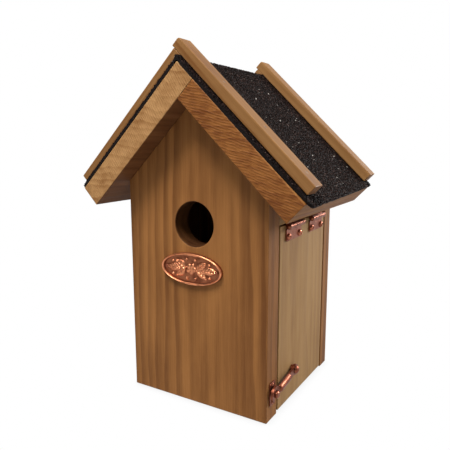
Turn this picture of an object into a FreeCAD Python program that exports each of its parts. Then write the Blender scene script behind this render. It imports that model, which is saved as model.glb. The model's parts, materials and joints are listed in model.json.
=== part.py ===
import FreeCAD, Part

import os
import Sketcher
from FreeCAD import Rotation, Vector

# A wooden nest box for small birds, in millimetres.
# The origin is the middle of the underside. +X is the side with the door, -Y the side
# with the entrance hole, and +Z is up.

NODE_FOLDER = "parts"
AXIS_X = Vector(1, 0, 0)
AXIS_Y = Vector(0, 1, 0)
AXIS_Z = Vector(0, 0, 1)
TOUCHING = 0.01
LEAST_CUT = 1
SPARE = 1

# ---------------------------------------------------------------- driving dimensions

DIMENSIONS = [
    ("BodyWidth", 115, "outside width of the box"),
    ("BodyDepth", 115, "outside depth of the box"),
    ("FrontThick", 16, "front panel"),
    ("BackThick", 13, "back panel"),
    ("SideThick", 12, "fixed side, door and rail"),
    ("FloorThick", 12, "floor board"),
    ("ApexHeight", 216.3, "inner corner of the ridge above the base"),
    ("Slope", 44, "roof pitch in degrees"),
    ("ArrisRadius", 0.6, "eased edges of the boards"),
    ("HoleHeight", 132.7, "middle of the entrance hole"),
    ("HoleDiameter", 32, "entrance hole"),
    ("RoofThick", 16.6, "roof boards"),
    ("RoofFront", 17, "verge overhang in front"),
    ("RoofLeft", 105, "left slope along its inner face"),
    ("RoofRight", 107, "right slope along its inner face"),
    ("FeltThick", 3, "mineral roofing felt"),
    ("FeltLapRight", 4.2, "felt past the right eave"),
    ("FeltLapLeft", 1.8, "felt past the left eave"),
    ("BattenHigh", 7.2, "verge battens, square to the roof"),
    ("BattenWide", 12, "verge battens, along the ridge"),
    ("BattenSetback", 4.5, "front battens behind the verge"),
    ("BattenLength", 103, "battens along the slope"),
    ("BattenLap", 2, "right battens past the left ones at the ridge"),
    ("BattenTip", 2, "rounded top end of the right battens"),
    ("DoorGap", 1.8, "gap at each side of the door"),
    ("DoorBottom", 1.5, "door above the base"),
    ("DoorTop", 133.4, "top edge of the door"),
    ("RailGap", 1, "gap between door and rail, and door and floor"),
    ("HingeHeight", 132.5, "hinge pins above the base"),
    ("HingeFront", -19, "middle of the front hinge"),
    ("HingeRear", 23, "middle of the rear hinge"),
    ("HingeWidth", 25.5, "hinge leaves"),
    ("LeafThick", 1, "hinge leaves"),
    ("LeafHigh", 8.5, "hinge leaves from the barrel to their edge"),
    ("LeafStart", 1.9, "hinge pin to the near edge of a leaf"),
    ("BarrelRadius", 2, "hinge knuckles"),
    ("BarrelGap", 0.3, "door face to the hinge barrel"),
    ("KnuckleGap", 0.3, "between neighbouring knuckles"),
    ("PinRadius", 0.9, "hinge pins"),
    ("PinPlay", 0.05, "running fit of the door leaf on its pin"),
    ("ScrewSpread", 9.5, "hinge screws from the middle of the leaf"),
    ("ScrewDrop", 7.5, "hinge screws from the pin"),
    ("ScrewRadius", 1.1, "hinge screw shanks"),
    ("ScrewHead", 2.5, "hinge screw heads, radius"),
    ("ScrewDome", 1.9, "hinge screw heads, height"),
    ("ScrewLength", 9, "hinge screws under the leaf face"),
    ("StudAcross", -49.8, "catch stud along the side"),
    ("StudHeight", 19.4, "catch stud above the base"),
    ("StudRadius", 2.5, "catch stud"),
    ("StudProud", 5.5, "catch stud from the side of the box"),
    ("CatchWide", 8, "catch plate"),
    ("CatchHigh", 17, "catch plate"),
    ("CatchThick", 0.8, "catch plate"),
    ("PivotAcross", -16.5, "latch pivot along the side"),
    ("PivotHeight", 23.6, "latch pivot above the base"),
    ("PivotRadius", 1.3, "shank of the latch pivot"),
    ("PivotPlay", 0.06, "running fit of the latch arm"),
    ("ArmStart", 2, "side of the box to the back of the latch arm"),
    ("ArmThick", 1.6, "latch arm"),
    ("ArmHigh", 5, "latch arm"),
    ("ArmGap", 0.3, "latch arm to the pivot's head and collar"),
    ("PlaqueAcross", -2, "middle of the oval plaque"),
    ("PlaqueHeight", 100.8, "middle of the oval plaque"),
    ("PlaqueLong", 51, "oval plaque"),
    ("PlaqueHigh", 23, "oval plaque"),
    ("PlaqueThick", 1.6, "oval plaque"),
    ("PlaqueRim", 2.6, "raised rim of the plaque above the front"),
    ("RimWide", 2, "raised rim of the plaque"),
    ("HangerHeight", 182, "middle of the wall hanger"),
    ("HangerThick", 1.2, "wall hanger"),
    ("HangerSunk", 0.1, "wall hanger below the back face"),
    ("HangerLong", 42, "wall hanger"),
    ("HangerHigh", 20, "wall hanger"),
    ("KeyholeRadius", 4, "round part of the keyhole"),
    ("KeyslotRadius", 2.2, "slot of the keyhole"),
    ("HeadRoomRadius", 7.5, "room for the head of the wall screw"),
    ("HeadRoomDeep", 8, "room for the head of the wall screw"),
]


def make_sheet(document):
    sheet = document.addObject("Spreadsheet::Sheet", "Dims")
    for row, (alias, value, note) in enumerate(DIMENSIONS, start=1):
        sheet.set(f"A{row}", alias)
        sheet.set(f"B{row}", str(value))
        sheet.setAlias(f"B{row}", alias)
        sheet.set(f"C{row}", note)
    document.recompute()
    return sheet


doc = FreeCAD.newDocument("NestBox")
sheet = make_sheet(doc)
sub_parts = []


def cell(alias):
    """The value of one driving dimension."""
    return float(sheet.get(alias))


def value(expression):
    """The value of an expression in the sheet's terms."""
    result = sheet.evalExpression(expression)
    return float(getattr(result, "Value", result))


def bind(feature, **expressions):
    """Tie properties to expressions; a double underscore stands for a dot."""
    for name, expression in expressions.items():
        feature.setExpression(name.replace("__", "."), expression)


def keep(feature, node):
    """Name a finished sub-part."""
    feature.Label = node
    sub_parts.append(feature)
    return feature


# ---------------------------------------------------------------- lines the pieces share

ANGLE = "(Dims.Slope * 1 deg)"
SIDE = "(Dims.BodyWidth / 2)"
FRONT = "(-Dims.BodyDepth / 2)"
BACK = "(Dims.BodyDepth / 2)"
FRONT_INNER = f"({FRONT} + Dims.FrontThick)"
BACK_INNER = f"({BACK} - Dims.BackThick)"
ROOF_FRONT = f"({FRONT} - Dims.RoofFront)"
SIDE_INNER = f"({SIDE} - Dims.SideThick)"
FELT_TOP = "(Dims.RoofThick + Dims.FeltThick)"
BATTEN_TOP = f"({FELT_TOP} + Dims.BattenHigh)"
HINGE_X = f"({SIDE} + Dims.BarrelGap + Dims.BarrelRadius)"


def under_roof(across):
    """Height of the roof's underside at a distance from the middle."""
    return f"(Dims.ApexHeight - {across} * tan({ANGLE}))"


def on_slope(side, along, height):
    """A point down the slope from the inner ridge, and a height square to the roof."""
    x = f"{side} * ({along} * cos({ANGLE}) + {height} * sin({ANGLE}))"
    z = f"Dims.ApexHeight - {along} * sin({ANGLE}) + {height} * cos({ANGLE})"
    return x, z


def at_ridge(right_height, left_height):
    """The crossing of a line on the right slope with one on the left slope."""
    x = f"(({right_height}) - ({left_height})) / (2 * sin({ANGLE}))"
    z = f"Dims.ApexHeight + (({right_height}) + ({left_height})) / (2 * cos({ANGLE}))"
    return x, z


# ---------------------------------------------------------------- sketches and pads


def origin_plane(body, role):
    return next(plane for plane in body.Origin.OriginFeatures if plane.Role == role)


def new_sketch(body, role, name):
    sketch = body.newObject("Sketcher::SketchObject", name)
    sketch.AttachmentSupport = [(origin_plane(body, role), "")]
    sketch.MapMode = "FlatFace"
    return sketch


def fix_point(sketch, line, corner, place):
    """Hold one end of a line at a place given by two expressions."""
    for kind, expression in zip(("DistanceX", "DistanceY"), place):
        distance = value(expression)
        index = sketch.addConstraint(Sketcher.Constraint(kind, -1, 1, line, corner, distance))
        sketch.setExpression(f"Constraints[{index}]", expression)


def outline(sketch, corners):
    """A closed outline of straight lines through the corners."""
    points = [Vector(value(x), value(y), 0) for x, y in corners]
    count = len(points)
    for index in range(count):
        sketch.addGeometry(Part.LineSegment(points[index], points[(index + 1) % count]), False)
    for index in range(count):
        sketch.addConstraint(Sketcher.Constraint("Coincident", index, 2, (index + 1) % count, 1))
        fix_point(sketch, index, 1, corners[index])


def circle(sketch, place, radius):
    centre = Vector(value(place[0]), value(place[1]), 0)
    index = sketch.addGeometry(Part.Circle(centre, AXIS_Z, value(radius)), False)
    size = sketch.addConstraint(Sketcher.Constraint("Radius", index, value(radius)))
    sketch.setExpression(f"Constraints[{size}]", radius)
    fix_point(sketch, index, 3, place)


def pad(body, sketch, length, name):
    feature = body.newObject("PartDesign::Pad", name)
    feature.Profile = sketch
    bind(feature, Length=length)
    return feature


def ease_edges(body, base, name):
    """Round every arris of a board."""
    feature = body.newObject("PartDesign::Fillet", name)
    feature.Base = (base, ["Edge1"])
    feature.UseAllEdges = True
    bind(feature, Radius="Dims.ArrisRadius")
    return feature


def pocket(body, sketch, length, name):
    """Cut a sketch out of a body, and make sure that it really cut."""
    before = body.Shape.Volume
    feature = body.newObject("PartDesign::Pocket", name)
    feature.Profile = sketch
    bind(feature, Length=length)
    doc.recompute()
    if body.Shape.Volume > before - LEAST_CUT:
        feature.Reversed = True
        doc.recompute()
    if body.Shape.Volume > before - LEAST_CUT:
        raise RuntimeError(f"{name} cuts nothing")
    return feature


def round_corner(body, base, place, radius, name):
    """Round the edge of a pad that runs from front to back through a corner of its outline."""
    corner = Vector(value(place[0]), 0, value(place[1]))
    for index, edge in enumerate(base.Shape.Edges, start=1):
        if all((Vector(v.X, 0, v.Z) - corner).Length < TOUCHING for v in edge.Vertexes):
            feature = body.newObject("PartDesign::Fillet", name)
            feature.Base = (base, [f"Edge{index}"])
            bind(feature, Radius=radius)
            doc.recompute()
            return feature
    raise RuntimeError(f"{name} has no edge to round")


def board(name, corners, front, back, rounded=None):
    """A board whose outline faces the front, reaching from front to back, edges eased."""
    body = doc.addObject("PartDesign::Body", name)
    sketch = new_sketch(body, "XZ_Plane", f"{name}_outline")
    outline(sketch, corners)
    solid = pad(body, sketch, f"{back} - {front}", f"{name}_pad")
    bind(body, Placement__Base__y=back)
    doc.recompute()
    if rounded:
        solid = round_corner(body, solid, rounded, "Dims.BattenTip", f"{name}_tip")
    ease_edges(body, solid, f"{name}_arris")
    doc.recompute()
    return body


# ---------------------------------------------------------------- fasteners


def turned(profile):
    """A solid of revolution about Z from (radius, height) corners."""
    points = [Vector(radius, 0, height) for radius, height in profile]
    points.append(points[0])
    return Part.Face(Part.makePolygon(points)).revolve(Vector(), AXIS_Z, 360)


def dome(radius, height):
    """A low domed head standing on Z = 0."""
    sphere_radius = (radius ** 2 + height ** 2) / (2 * height)
    sphere = Part.makeSphere(sphere_radius, Vector(0, 0, height - sphere_radius))
    return sphere.common(Part.makeCylinder(radius, height))


# The slot of a screw head, as shares of the head's radius and of its height.
SLOT_WIDE = 0.22
SLOT_FLOOR = 0.55
SUNK_SLOT_DEEP = 0.25


def slotted_screw(radius, head, head_high, length):
    """A round-headed wood screw, head up, with the underside of its head at Z = 0."""
    slot = Part.makeBox(2 * head, SLOT_WIDE * head, head_high)
    slot.translate(Vector(-head, -SLOT_WIDE * head / 2, SLOT_FLOOR * head_high))
    tip = 2 * radius
    shank = turned([(0, 0), (radius, 0), (radius, tip - length), (0, -length)])
    return dome(head, head_high).cut(slot).fuse(shank).removeSplitter()


def sunk_screw(radius, head, length):
    """A countersunk wood screw, head up, with the top of its head at Z = 0."""
    slot_deep = SUNK_SLOT_DEEP * head
    slot = Part.makeBox(2 * head, SLOT_WIDE * head, slot_deep)
    slot.translate(Vector(-head, -SLOT_WIDE * head / 2, -slot_deep))
    shape = turned([
        (0, 0),
        (head, 0),
        (radius, radius - head),
        (radius, 2 * radius - length),
        (0, -length),
    ])
    return shape.cut(slot)


def pin_nail(radius, head, head_high, length):
    """A nail, head up, with the top of its head at Z = 0."""
    return turned([
        (0, 0),
        (head, 0),
        (head, -head_high),
        (radius, -head_high),
        (radius, 2 * radius - length),
        (0, -length),
    ])


def driven(name, fastener, places, outward):
    """Copies of one fastener at several places, all with their heads facing outward."""
    turn = Rotation(AXIS_Z, outward)
    copies = []
    for place in places:
        copy = fastener.copy()
        copy.Placement = FreeCAD.Placement(place, turn)
        copies.append(copy)
    group = doc.addObject("Part::Feature", name)
    group.Shape = Part.makeCompound(copies)
    return group


def merged(name, *groups):
    """Several groups of fasteners as one sub-part."""
    joined = doc.addObject("Part::Feature", name)
    joined.Shape = Part.makeCompound([solid for group in groups for solid in group.Shape.Solids])
    for group in groups:
        doc.removeObject(group.Name)
    return keep(joined, name)


def bored(body, node, *fasteners):
    """A wooden piece with the holes that its fasteners fill."""
    tool = doc.addObject("Part::Compound", f"{node}_holes")
    tool.Links = list(fasteners)
    cut = doc.addObject("Part::Cut", f"{node}_bored")
    cut.Base = body
    cut.Tool = tool
    return keep(cut, node)


# ---------------------------------------------------------------- the boards of the box

width_half = cell("BodyWidth") / 2
y_front = value(FRONT)
y_front_inner = value(FRONT_INNER)
y_back = value(BACK)
y_back_inner = value(BACK_INNER)
x_side_inner = value(SIDE_INNER)
y_roof_front = value(ROOF_FRONT)

GABLE = [
    (f"-{SIDE}", "0"),
    (SIDE, "0"),
    (SIDE, under_roof(SIDE)),
    ("0", "Dims.ApexHeight"),
    (f"-{SIDE}", under_roof(SIDE)),
]

front = doc.addObject("PartDesign::Body", "front")
gable_sketch = new_sketch(front, "XZ_Plane", "front_outline")
outline(gable_sketch, GABLE)
front_pad = pad(front, gable_sketch, "Dims.FrontThick", "front_pad")
bind(front, Placement__Base__y=FRONT_INNER)
doc.recompute()
hole_sketch = new_sketch(front, "XZ_Plane", "entrance_outline")
circle(hole_sketch, ("0", "Dims.HoleHeight"), "Dims.HoleDiameter / 2")
front_hole = pocket(front, hole_sketch, "Dims.FrontThick", "entrance_hole")
ease_edges(front, front_hole, "front_arris")
doc.recompute()

back = board("back", GABLE, BACK_INNER, BACK)

left_side = board("left_side", [
    (f"-{SIDE}", "0"),
    (f"-{SIDE_INNER}", "0"),
    (f"-{SIDE_INNER}", under_roof(SIDE_INNER)),
    (f"-{SIDE}", under_roof(SIDE)),
], FRONT_INNER, BACK_INNER)

rail = board("rail", [
    (SIDE_INNER, "Dims.DoorTop + Dims.RailGap"),
    (SIDE, "Dims.DoorTop + Dims.RailGap"),
    (SIDE, under_roof(SIDE)),
    (SIDE_INNER, under_roof(SIDE_INNER)),
], FRONT_INNER, BACK_INNER)

floor = board("floor", [
    (f"-{SIDE_INNER}", "0"),
    (f"{SIDE_INNER} - Dims.RailGap", "0"),
    (f"{SIDE_INNER} - Dims.RailGap", "Dims.FloorThick"),
    (f"-{SIDE_INNER}", "Dims.FloorThick"),
], FRONT_INNER, BACK_INNER)

door = board("door", [
    (SIDE_INNER, "Dims.DoorBottom"),
    (SIDE, "Dims.DoorBottom"),
    (SIDE, "Dims.DoorTop"),
    (SIDE_INNER, "Dims.DoorTop"),
], f"({FRONT_INNER} + Dims.DoorGap)", f"({BACK_INNER} - Dims.DoorGap)")

# ---------------------------------------------------------------- the roof

# The left board laps over the top end of the right one.
roof_left = board("roof_left", [
    on_slope(-1, "Dims.RoofLeft", "0"),
    on_slope(-1, "Dims.RoofLeft", "Dims.RoofThick"),
    at_ridge("Dims.RoofThick", "Dims.RoofThick"),
    at_ridge("Dims.RoofThick", "0"),
], ROOF_FRONT, BACK)

roof_right = board("roof_right", [
    ("0", "Dims.ApexHeight"),
    at_ridge("Dims.RoofThick", "0"),
    on_slope(1, "Dims.RoofRight", "Dims.RoofThick"),
    on_slope(1, "Dims.RoofRight", "0"),
], ROOF_FRONT, BACK)

# One sheet of felt is folded over the ridge.
felt = doc.addObject("PartDesign::Body", "felt")
felt_sketch = new_sketch(felt, "XZ_Plane", "felt_outline")
FELT_RIGHT = "(Dims.RoofRight + Dims.FeltLapRight)"
FELT_LEFT = "(Dims.RoofLeft + Dims.FeltLapLeft)"
outline(felt_sketch, [
    at_ridge("Dims.RoofThick", "Dims.RoofThick"),
    on_slope(1, FELT_RIGHT, "Dims.RoofThick"),
    on_slope(1, FELT_RIGHT, FELT_TOP),
    at_ridge(FELT_TOP, FELT_TOP),
    on_slope(-1, FELT_LEFT, FELT_TOP),
    on_slope(-1, FELT_LEFT, "Dims.RoofThick"),
])
pad(felt, felt_sketch, f"{BACK} - {ROOF_FRONT}", "felt_pad")
bind(felt, Placement__Base__y=BACK)

# Each verge has a pair of battens. The right one laps over the left one at the ridge.
BATTEN_PEAK = at_ridge(BATTEN_TOP, f"{BATTEN_TOP} + Dims.BattenLap")
RIGHT_BATTEN = [
    at_ridge(FELT_TOP, f"{BATTEN_TOP} + Dims.BattenLap"),
    BATTEN_PEAK,
    on_slope(1, "Dims.BattenLength", BATTEN_TOP),
    on_slope(1, "Dims.BattenLength", FELT_TOP),
]
LEFT_BATTEN = [
    at_ridge(FELT_TOP, FELT_TOP),
    at_ridge(FELT_TOP, BATTEN_TOP),
    on_slope(-1, "Dims.BattenLength", BATTEN_TOP),
    on_slope(-1, "Dims.BattenLength", FELT_TOP),
]
FRONT_BATTENS = (
    f"({ROOF_FRONT} + Dims.BattenSetback)",
    f"({ROOF_FRONT} + Dims.BattenSetback + Dims.BattenWide)",
)
REAR_BATTENS = (f"({BACK} - Dims.BattenWide)", BACK)
battens = {
    "batten_front_right": board("batten_fr", RIGHT_BATTEN, *FRONT_BATTENS, BATTEN_PEAK),
    "batten_front_left": board("batten_fl", LEFT_BATTEN, *FRONT_BATTENS),
    "batten_rear_right": board("batten_rr", RIGHT_BATTEN, *REAR_BATTENS, BATTEN_PEAK),
    "batten_rear_left": board("batten_rl", LEFT_BATTEN, *REAR_BATTENS),
}

# ---------------------------------------------------------------- nails of the box and roof

slope_angle = cell("Slope")
RIGHT_UP = Rotation(AXIS_Y, slope_angle).multVec(AXIS_Z)
LEFT_UP = Rotation(AXIS_Y, -slope_angle).multVec(AXIS_Z)


def slope_place(side, along, height, y):
    x_text, z_text = on_slope(side, str(along), height)
    return Vector(value(x_text), y, value(z_text))


roof_nail = pin_nail(radius=0.8, head=1.8, head_high=0.6, length=32)
wall_nail = pin_nail(radius=0.8, head=1.8, head_high=0.6, length=28)
batten_nail = pin_nail(radius=0.6, head=1.2, head_high=0.5, length=18)
hidden_pin = pin_nail(radius=0.6, head=0.7, head_high=0.4, length=26)
ROOF_NAILS_ALONG = (30, 68)
BATTEN_NAILS_ALONG = (14, 54, 92)
SIDE_NAIL_HEIGHTS = (30, 80, 130)
RAIL_NAIL_HEIGHT = 148
FLOOR_NAILS_ACROSS = (-25, 25)
PUNCHED_DEEP = 2


def slope_nails(name, nail, alongs, height, lines):
    """Nails square into both slopes, at distances down the slope and along the ridge."""
    groups = []
    for side, outward in ((1, RIGHT_UP), (-1, LEFT_UP)):
        places = [slope_place(side, along, height, y) for along in alongs for y in lines]
        groups.append(driven(f"{name}_{len(groups)}", nail, places, outward))
    return merged(name, *groups)


# The roof boards are nailed down into the edges of the front and back panels.
gable_lines = [(y_front + y_front_inner) / 2, (y_back + y_back_inner) / 2]
roof_nails = slope_nails("roof_nails", roof_nail, ROOF_NAILS_ALONG, "Dims.RoofThick", gable_lines)

# Battens are pinned through the felt into the boards.
batten_lines = [
    y_roof_front + cell("BattenSetback") + cell("BattenWide") / 2,
    y_back - cell("BattenWide") / 2,
]
batten_nails = slope_nails(
    "batten_nails", batten_nail, BATTEN_NAILS_ALONG, BATTEN_TOP, batten_lines)

# The back panel is nailed to the fixed side, the rail and the floor.
side_line = (width_half + x_side_inner) / 2
back_places = [Vector(-side_line, y_back, z) for z in SIDE_NAIL_HEIGHTS]
back_places += [Vector(side_line, y_back, RAIL_NAIL_HEIGHT)]
back_places += [Vector(x, y_back, cell("FloorThick") / 2) for x in FLOOR_NAILS_ACROSS]
back_nails = keep(driven("back_nails", wall_nail, back_places, AXIS_Y), "back_nails")

# The pins behind the front panel are punched in and filled over.
front_places = [Vector(place.x, y_front + PUNCHED_DEEP, place.z) for place in back_places]
front_pins = keep(driven("front_pins", hidden_pin, front_places, -AXIS_Y), "front_pins")

# ---------------------------------------------------------------- hinges

hinge_x = value(HINGE_X)
hinge_z = cell("HingeHeight")
leaf_thick = cell("LeafThick")
leaf_face = width_half + leaf_thick
KNUCKLES = 5
LEAF_CORNER = 1.2
WEB_PROUD = 0.1
WEB_OVERLAP = 1
PIN_HEAD_RADIUS = 1.6
PIN_HEAD_HIGH = 0.7
UPRIGHT = 0.9
screw_places = [
    (cell(middle) + side * cell("ScrewSpread"))
    for middle in ("HingeFront", "HingeRear")
    for side in (-1, 1)
]
hinge_screw = slotted_screw(
    cell("ScrewRadius"), cell("ScrewHead"), cell("ScrewDome"), cell("ScrewLength"))
door_screws = keep(driven("hinge_screws_door", hinge_screw, [
    Vector(leaf_face, y, hinge_z - cell("ScrewDrop")) for y in screw_places
], AXIS_X), "hinge_screws_door")
frame_screws = keep(driven("hinge_screws_frame", hinge_screw, [
    Vector(leaf_face, y, hinge_z + cell("ScrewDrop")) for y in screw_places
], AXIS_X), "hinge_screws_frame")


def knuckle_spans():
    """Start and end of the knuckles of a hinge, from its middle."""
    pitch = cell("HingeWidth") / KNUCKLES
    gap = cell("KnuckleGap") / 2
    start = -cell("HingeWidth") / 2
    return [
        (start + index * pitch + gap, start + (index + 1) * pitch - gap)
        for index in range(KNUCKLES)
    ]


def plate_with_round_corners(long_side, short_side, thick, radius):
    """A flat plate in the XY plane about the origin, its four upright corners rounded."""
    plate = Part.makeBox(long_side, short_side, thick, Vector(-long_side / 2, -short_side / 2, 0))
    upright = [edge for edge in plate.Edges if abs(edge.tangentAt(edge.FirstParameter).z) > UPRIGHT]
    return plate.makeFillet(radius, upright)


def hinge_leaf(node, middle, up, knuckles, bore, screws):
    """One leaf: a plate beside the barrel, its knuckles, and the webs between them."""
    inner = cell("BarrelRadius")
    gap = cell("BarrelGap")
    leaf_high = cell("LeafHigh")
    start = cell("LeafStart")
    shape = plate_with_round_corners(cell("HingeWidth"), leaf_high, leaf_thick, LEAF_CORNER)
    shape.Placement = FreeCAD.Placement(
        Vector(width_half, middle, hinge_z + up * (start + leaf_high / 2)),
        Rotation(AXIS_Y, AXIS_Z, AXIS_X))
    for index in knuckles:
        low, high = knuckle_spans()[index]
        barrel = Part.makeCylinder(inner, high - low, Vector(hinge_x, middle + low, hinge_z), AXIS_Y)
        web_high = start + WEB_OVERLAP
        web = Part.makeBox(leaf_thick - gap + WEB_PROUD, high - low, web_high)
        bottom = hinge_z if up > 0 else hinge_z - web_high
        web.translate(Vector(width_half + gap, middle + low, bottom))
        shape = shape.fuse(barrel).fuse(web)
    hole = Part.makeCylinder(bore, 2 * cell("HingeWidth"),
                             Vector(hinge_x, middle - cell("HingeWidth"), hinge_z), AXIS_Y)
    shape = shape.cut(hole).cut(screws.Shape).removeSplitter()
    leaf = doc.addObject("Part::Feature", node)
    leaf.Shape = shape
    return keep(leaf, node)


def hinge_pin(node, middle):
    """A pin with a small flat head at each end, clear of the outer knuckles."""
    radius = cell("PinRadius")
    half = cell("HingeWidth") / 2
    pin = Part.makeCylinder(radius, 2 * half, Vector(hinge_x, middle - half, hinge_z), AXIS_Y)
    for side in (-1, 1):
        head = dome(PIN_HEAD_RADIUS, PIN_HEAD_HIGH)
        head.Placement = FreeCAD.Placement(
            Vector(hinge_x, middle + side * half, hinge_z), Rotation(AXIS_Z, AXIS_Y * side))
        pin = pin.fuse(head)
    feature = doc.addObject("Part::Feature", node)
    feature.Shape = pin.removeSplitter()
    return keep(feature, node)


pin_radius = cell("PinRadius")
for end, alias in (("front", "HingeFront"), ("rear", "HingeRear")):
    middle = cell(alias)
    hinge_leaf(f"hinge_{end}_frame_leaf", middle, 1, (0, 2, 4), pin_radius, frame_screws)
    hinge_leaf(f"hinge_{end}_door_leaf", middle, -1, (1, 3), pin_radius + cell("PinPlay"), door_screws)
    hinge_pin(f"hinge_{end}_pin", middle)

# ---------------------------------------------------------------- latch

stud_place = Vector(width_half, cell("StudAcross"), cell("StudHeight"))
pivot_place = Vector(width_half, cell("PivotAcross"), cell("PivotHeight"))
arm_back = cell("ArmStart")
arm_front = arm_back + cell("ArmThick")
stud_radius = cell("StudRadius")
catch_thick = cell("CatchThick")
CATCH_CORNER = 1.5
CATCH_SCREWS = 6.2
SPIGOT_RADIUS = 1.2
SPIGOT_DEEP = 4
STUD_CHAMFER = 0.8

catch_screw = slotted_screw(radius=0.8, head=1.5, head_high=0.7, length=9)
catch_screws = keep(driven("catch_screws", catch_screw, [
    stud_place + Vector(catch_thick, 0, side * CATCH_SCREWS) for side in (-1, 1)
], AXIS_X), "catch_screws")

catch_plate = plate_with_round_corners(
    cell("CatchWide"), cell("CatchHigh"), catch_thick, CATCH_CORNER)
catch_plate.Placement = FreeCAD.Placement(stud_place, Rotation(AXIS_Y, AXIS_Z, AXIS_X))
stud_spigot = Part.makeCylinder(
    SPIGOT_RADIUS, 2 * SPIGOT_DEEP, stud_place - AXIS_X * SPIGOT_DEEP, AXIS_X)
catch = doc.addObject("Part::Feature", "catch")
catch.Shape = catch_plate.cut(stud_spigot).cut(catch_screws.Shape)
keep(catch, "latch_catch_plate")

stud_profile = turned([
    (0, -SPIGOT_DEEP),
    (SPIGOT_RADIUS, -SPIGOT_DEEP),
    (SPIGOT_RADIUS, catch_thick),
    (stud_radius, catch_thick),
    (stud_radius, cell("StudProud") - STUD_CHAMFER),
    (stud_radius - STUD_CHAMFER, cell("StudProud")),
    (0, cell("StudProud")),
])
stud = keep(driven("latch_stud", stud_profile, [stud_place], AXIS_X), "latch_stud")

# The pivot is a round-headed screw through the arm, with a collar behind the arm.
pivot_radius = cell("PivotRadius")
arm_gap = cell("ArmGap")
head_start = arm_front + arm_gap
PIVOT_HEAD_RADIUS = 3.1
PIVOT_HEAD_HIGH = 2.2
PIVOT_DEEP = 8
PIVOT_POINT = 3
COLLAR_RADIUS = 3.2
pivot_shape = dome(PIVOT_HEAD_RADIUS, PIVOT_HEAD_HIGH)
pivot_shape.translate(Vector(0, 0, head_start))
pivot_shank = turned([
    (0, head_start),
    (pivot_radius, head_start),
    (pivot_radius, PIVOT_POINT - PIVOT_DEEP),
    (0, -PIVOT_DEEP),
])
pivot_shape = pivot_shape.fuse(pivot_shank).removeSplitter()
pivot = keep(driven("latch_pivot_screw", pivot_shape, [pivot_place], AXIS_X), "latch_pivot_screw")
collar_shape = Part.makeCylinder(COLLAR_RADIUS, arm_back - arm_gap).cut(
    Part.makeCylinder(pivot_radius, arm_back))
keep(driven("latch_collar", collar_shape, [pivot_place], AXIS_X), "latch_collar")


EYE_RADIUS = 4
HOOK_RADIUS = 5.8
NOTCH_CLEARANCE = 0.5
MOUTH_FLARE = 0.7
GRIP_LONG = 18
GRIP_MIDDLE = 18.5
GRIP_SWELL = 0.6
GRIP_ROUND = 2
GRIP_PROUD = 2.1


def latch_arm():
    """A strap from an eye on the pivot to a hook that drops over the stud."""
    reach = pivot_place.sub(stud_place).Length
    thick = cell("ArmThick")
    high = cell("ArmHigh")
    notch_radius = stud_radius + NOTCH_CLEARANCE
    mouth = notch_radius + MOUTH_FLARE
    strap = Part.makeBox(reach, high, thick, Vector(-reach, -high / 2, 0))
    eye = Part.makeCylinder(EYE_RADIUS, thick)
    hook = Part.makeCylinder(HOOK_RADIUS, thick, Vector(-reach, 0, 0))
    blank = strap.fuse(eye).fuse(hook).removeSplitter()
    grip_start = Vector(-GRIP_MIDDLE - GRIP_LONG / 2, 0, 0)
    grip = Part.makeCylinder(high / 2 + GRIP_SWELL, GRIP_LONG, grip_start, AXIS_X)
    grip = grip.makeFillet(GRIP_ROUND, grip.Edges)
    above = Part.makeBox(
        2 * reach, 2 * high, GRIP_PROUD + thick / 2, Vector(-2 * reach, -high, thick / 2))
    notch_round = Part.makeCylinder(notch_radius, 3 * thick, Vector(-reach, 0, -thick))
    notch_mouth = Part.Face(Part.makePolygon([
        Vector(-reach - notch_radius, 0, -thick),
        Vector(-reach + notch_radius, 0, -thick),
        Vector(-reach + mouth, -2 * HOOK_RADIUS, -thick),
        Vector(-reach - mouth, -2 * HOOK_RADIUS, -thick),
        Vector(-reach - notch_radius, 0, -thick),
    ])).extrude(Vector(0, 0, 3 * thick))
    bore = Part.makeCylinder(pivot_radius + cell("PivotPlay"), 3 * thick, Vector(0, 0, -thick))
    shape = blank.fuse(grip.common(above)).cut(notch_round).cut(notch_mouth).cut(bore)
    return shape.removeSplitter()


toward_stud = stud_place.sub(pivot_place)
toward_stud.normalize()
arm = doc.addObject("Part::Feature", "arm")
arm.Shape = latch_arm()
arm.Placement = FreeCAD.Placement(
    pivot_place + AXIS_X * arm_back, Rotation(-toward_stud, AXIS_X.cross(-toward_stud), AXIS_X))
keep(arm, "latch_arm")

# ---------------------------------------------------------------- plaque

PLAQUE_PIN_INSET = 4.5
plaque_x = cell("PlaqueAcross")
plaque_z = cell("PlaqueHeight")
pin_reach = cell("PlaqueLong") / 2 - PLAQUE_PIN_INSET
plaque_pin_places = [
    Vector(plaque_x + side * pin_reach, y_front - cell("PlaqueThick"), plaque_z)
    for side in (-1, 1)
]
plaque_pin = slotted_screw(radius=0.6, head=1.2, head_high=0.6, length=9)
plaque_pins = keep(
    driven("plaque_pins", plaque_pin, plaque_pin_places, -AXIS_Y), "plaque_pins")


def oval(long_side, short_side, thick):
    """An upright oval slab standing forward from the front panel."""
    centre = Vector(plaque_x, y_front, plaque_z)
    along = centre + Vector(long_side / 2, 0, 0)
    up = centre + Vector(0, 0, short_side / 2)
    edge = Part.Ellipse(along, up, centre).toShape()
    return Part.Face(Part.Wire(edge)).extrude(Vector(0, -thick, 0))


plaque_long = cell("PlaqueLong")
plaque_high = cell("PlaqueHigh")
rim = cell("RimWide")
rim_ring = oval(plaque_long, plaque_high, cell("PlaqueRim")).cut(
    oval(plaque_long - 2 * rim, plaque_high - 2 * rim, cell("PlaqueRim")))
plaque = doc.addObject("Part::Feature", "plaque")
plaque.Shape = oval(plaque_long, plaque_high, cell("PlaqueThick")).fuse(rim_ring).cut(
    plaque_pins.Shape).removeSplitter()
keep(plaque, "oval_plaque")

# ---------------------------------------------------------------- wall hanger

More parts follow.
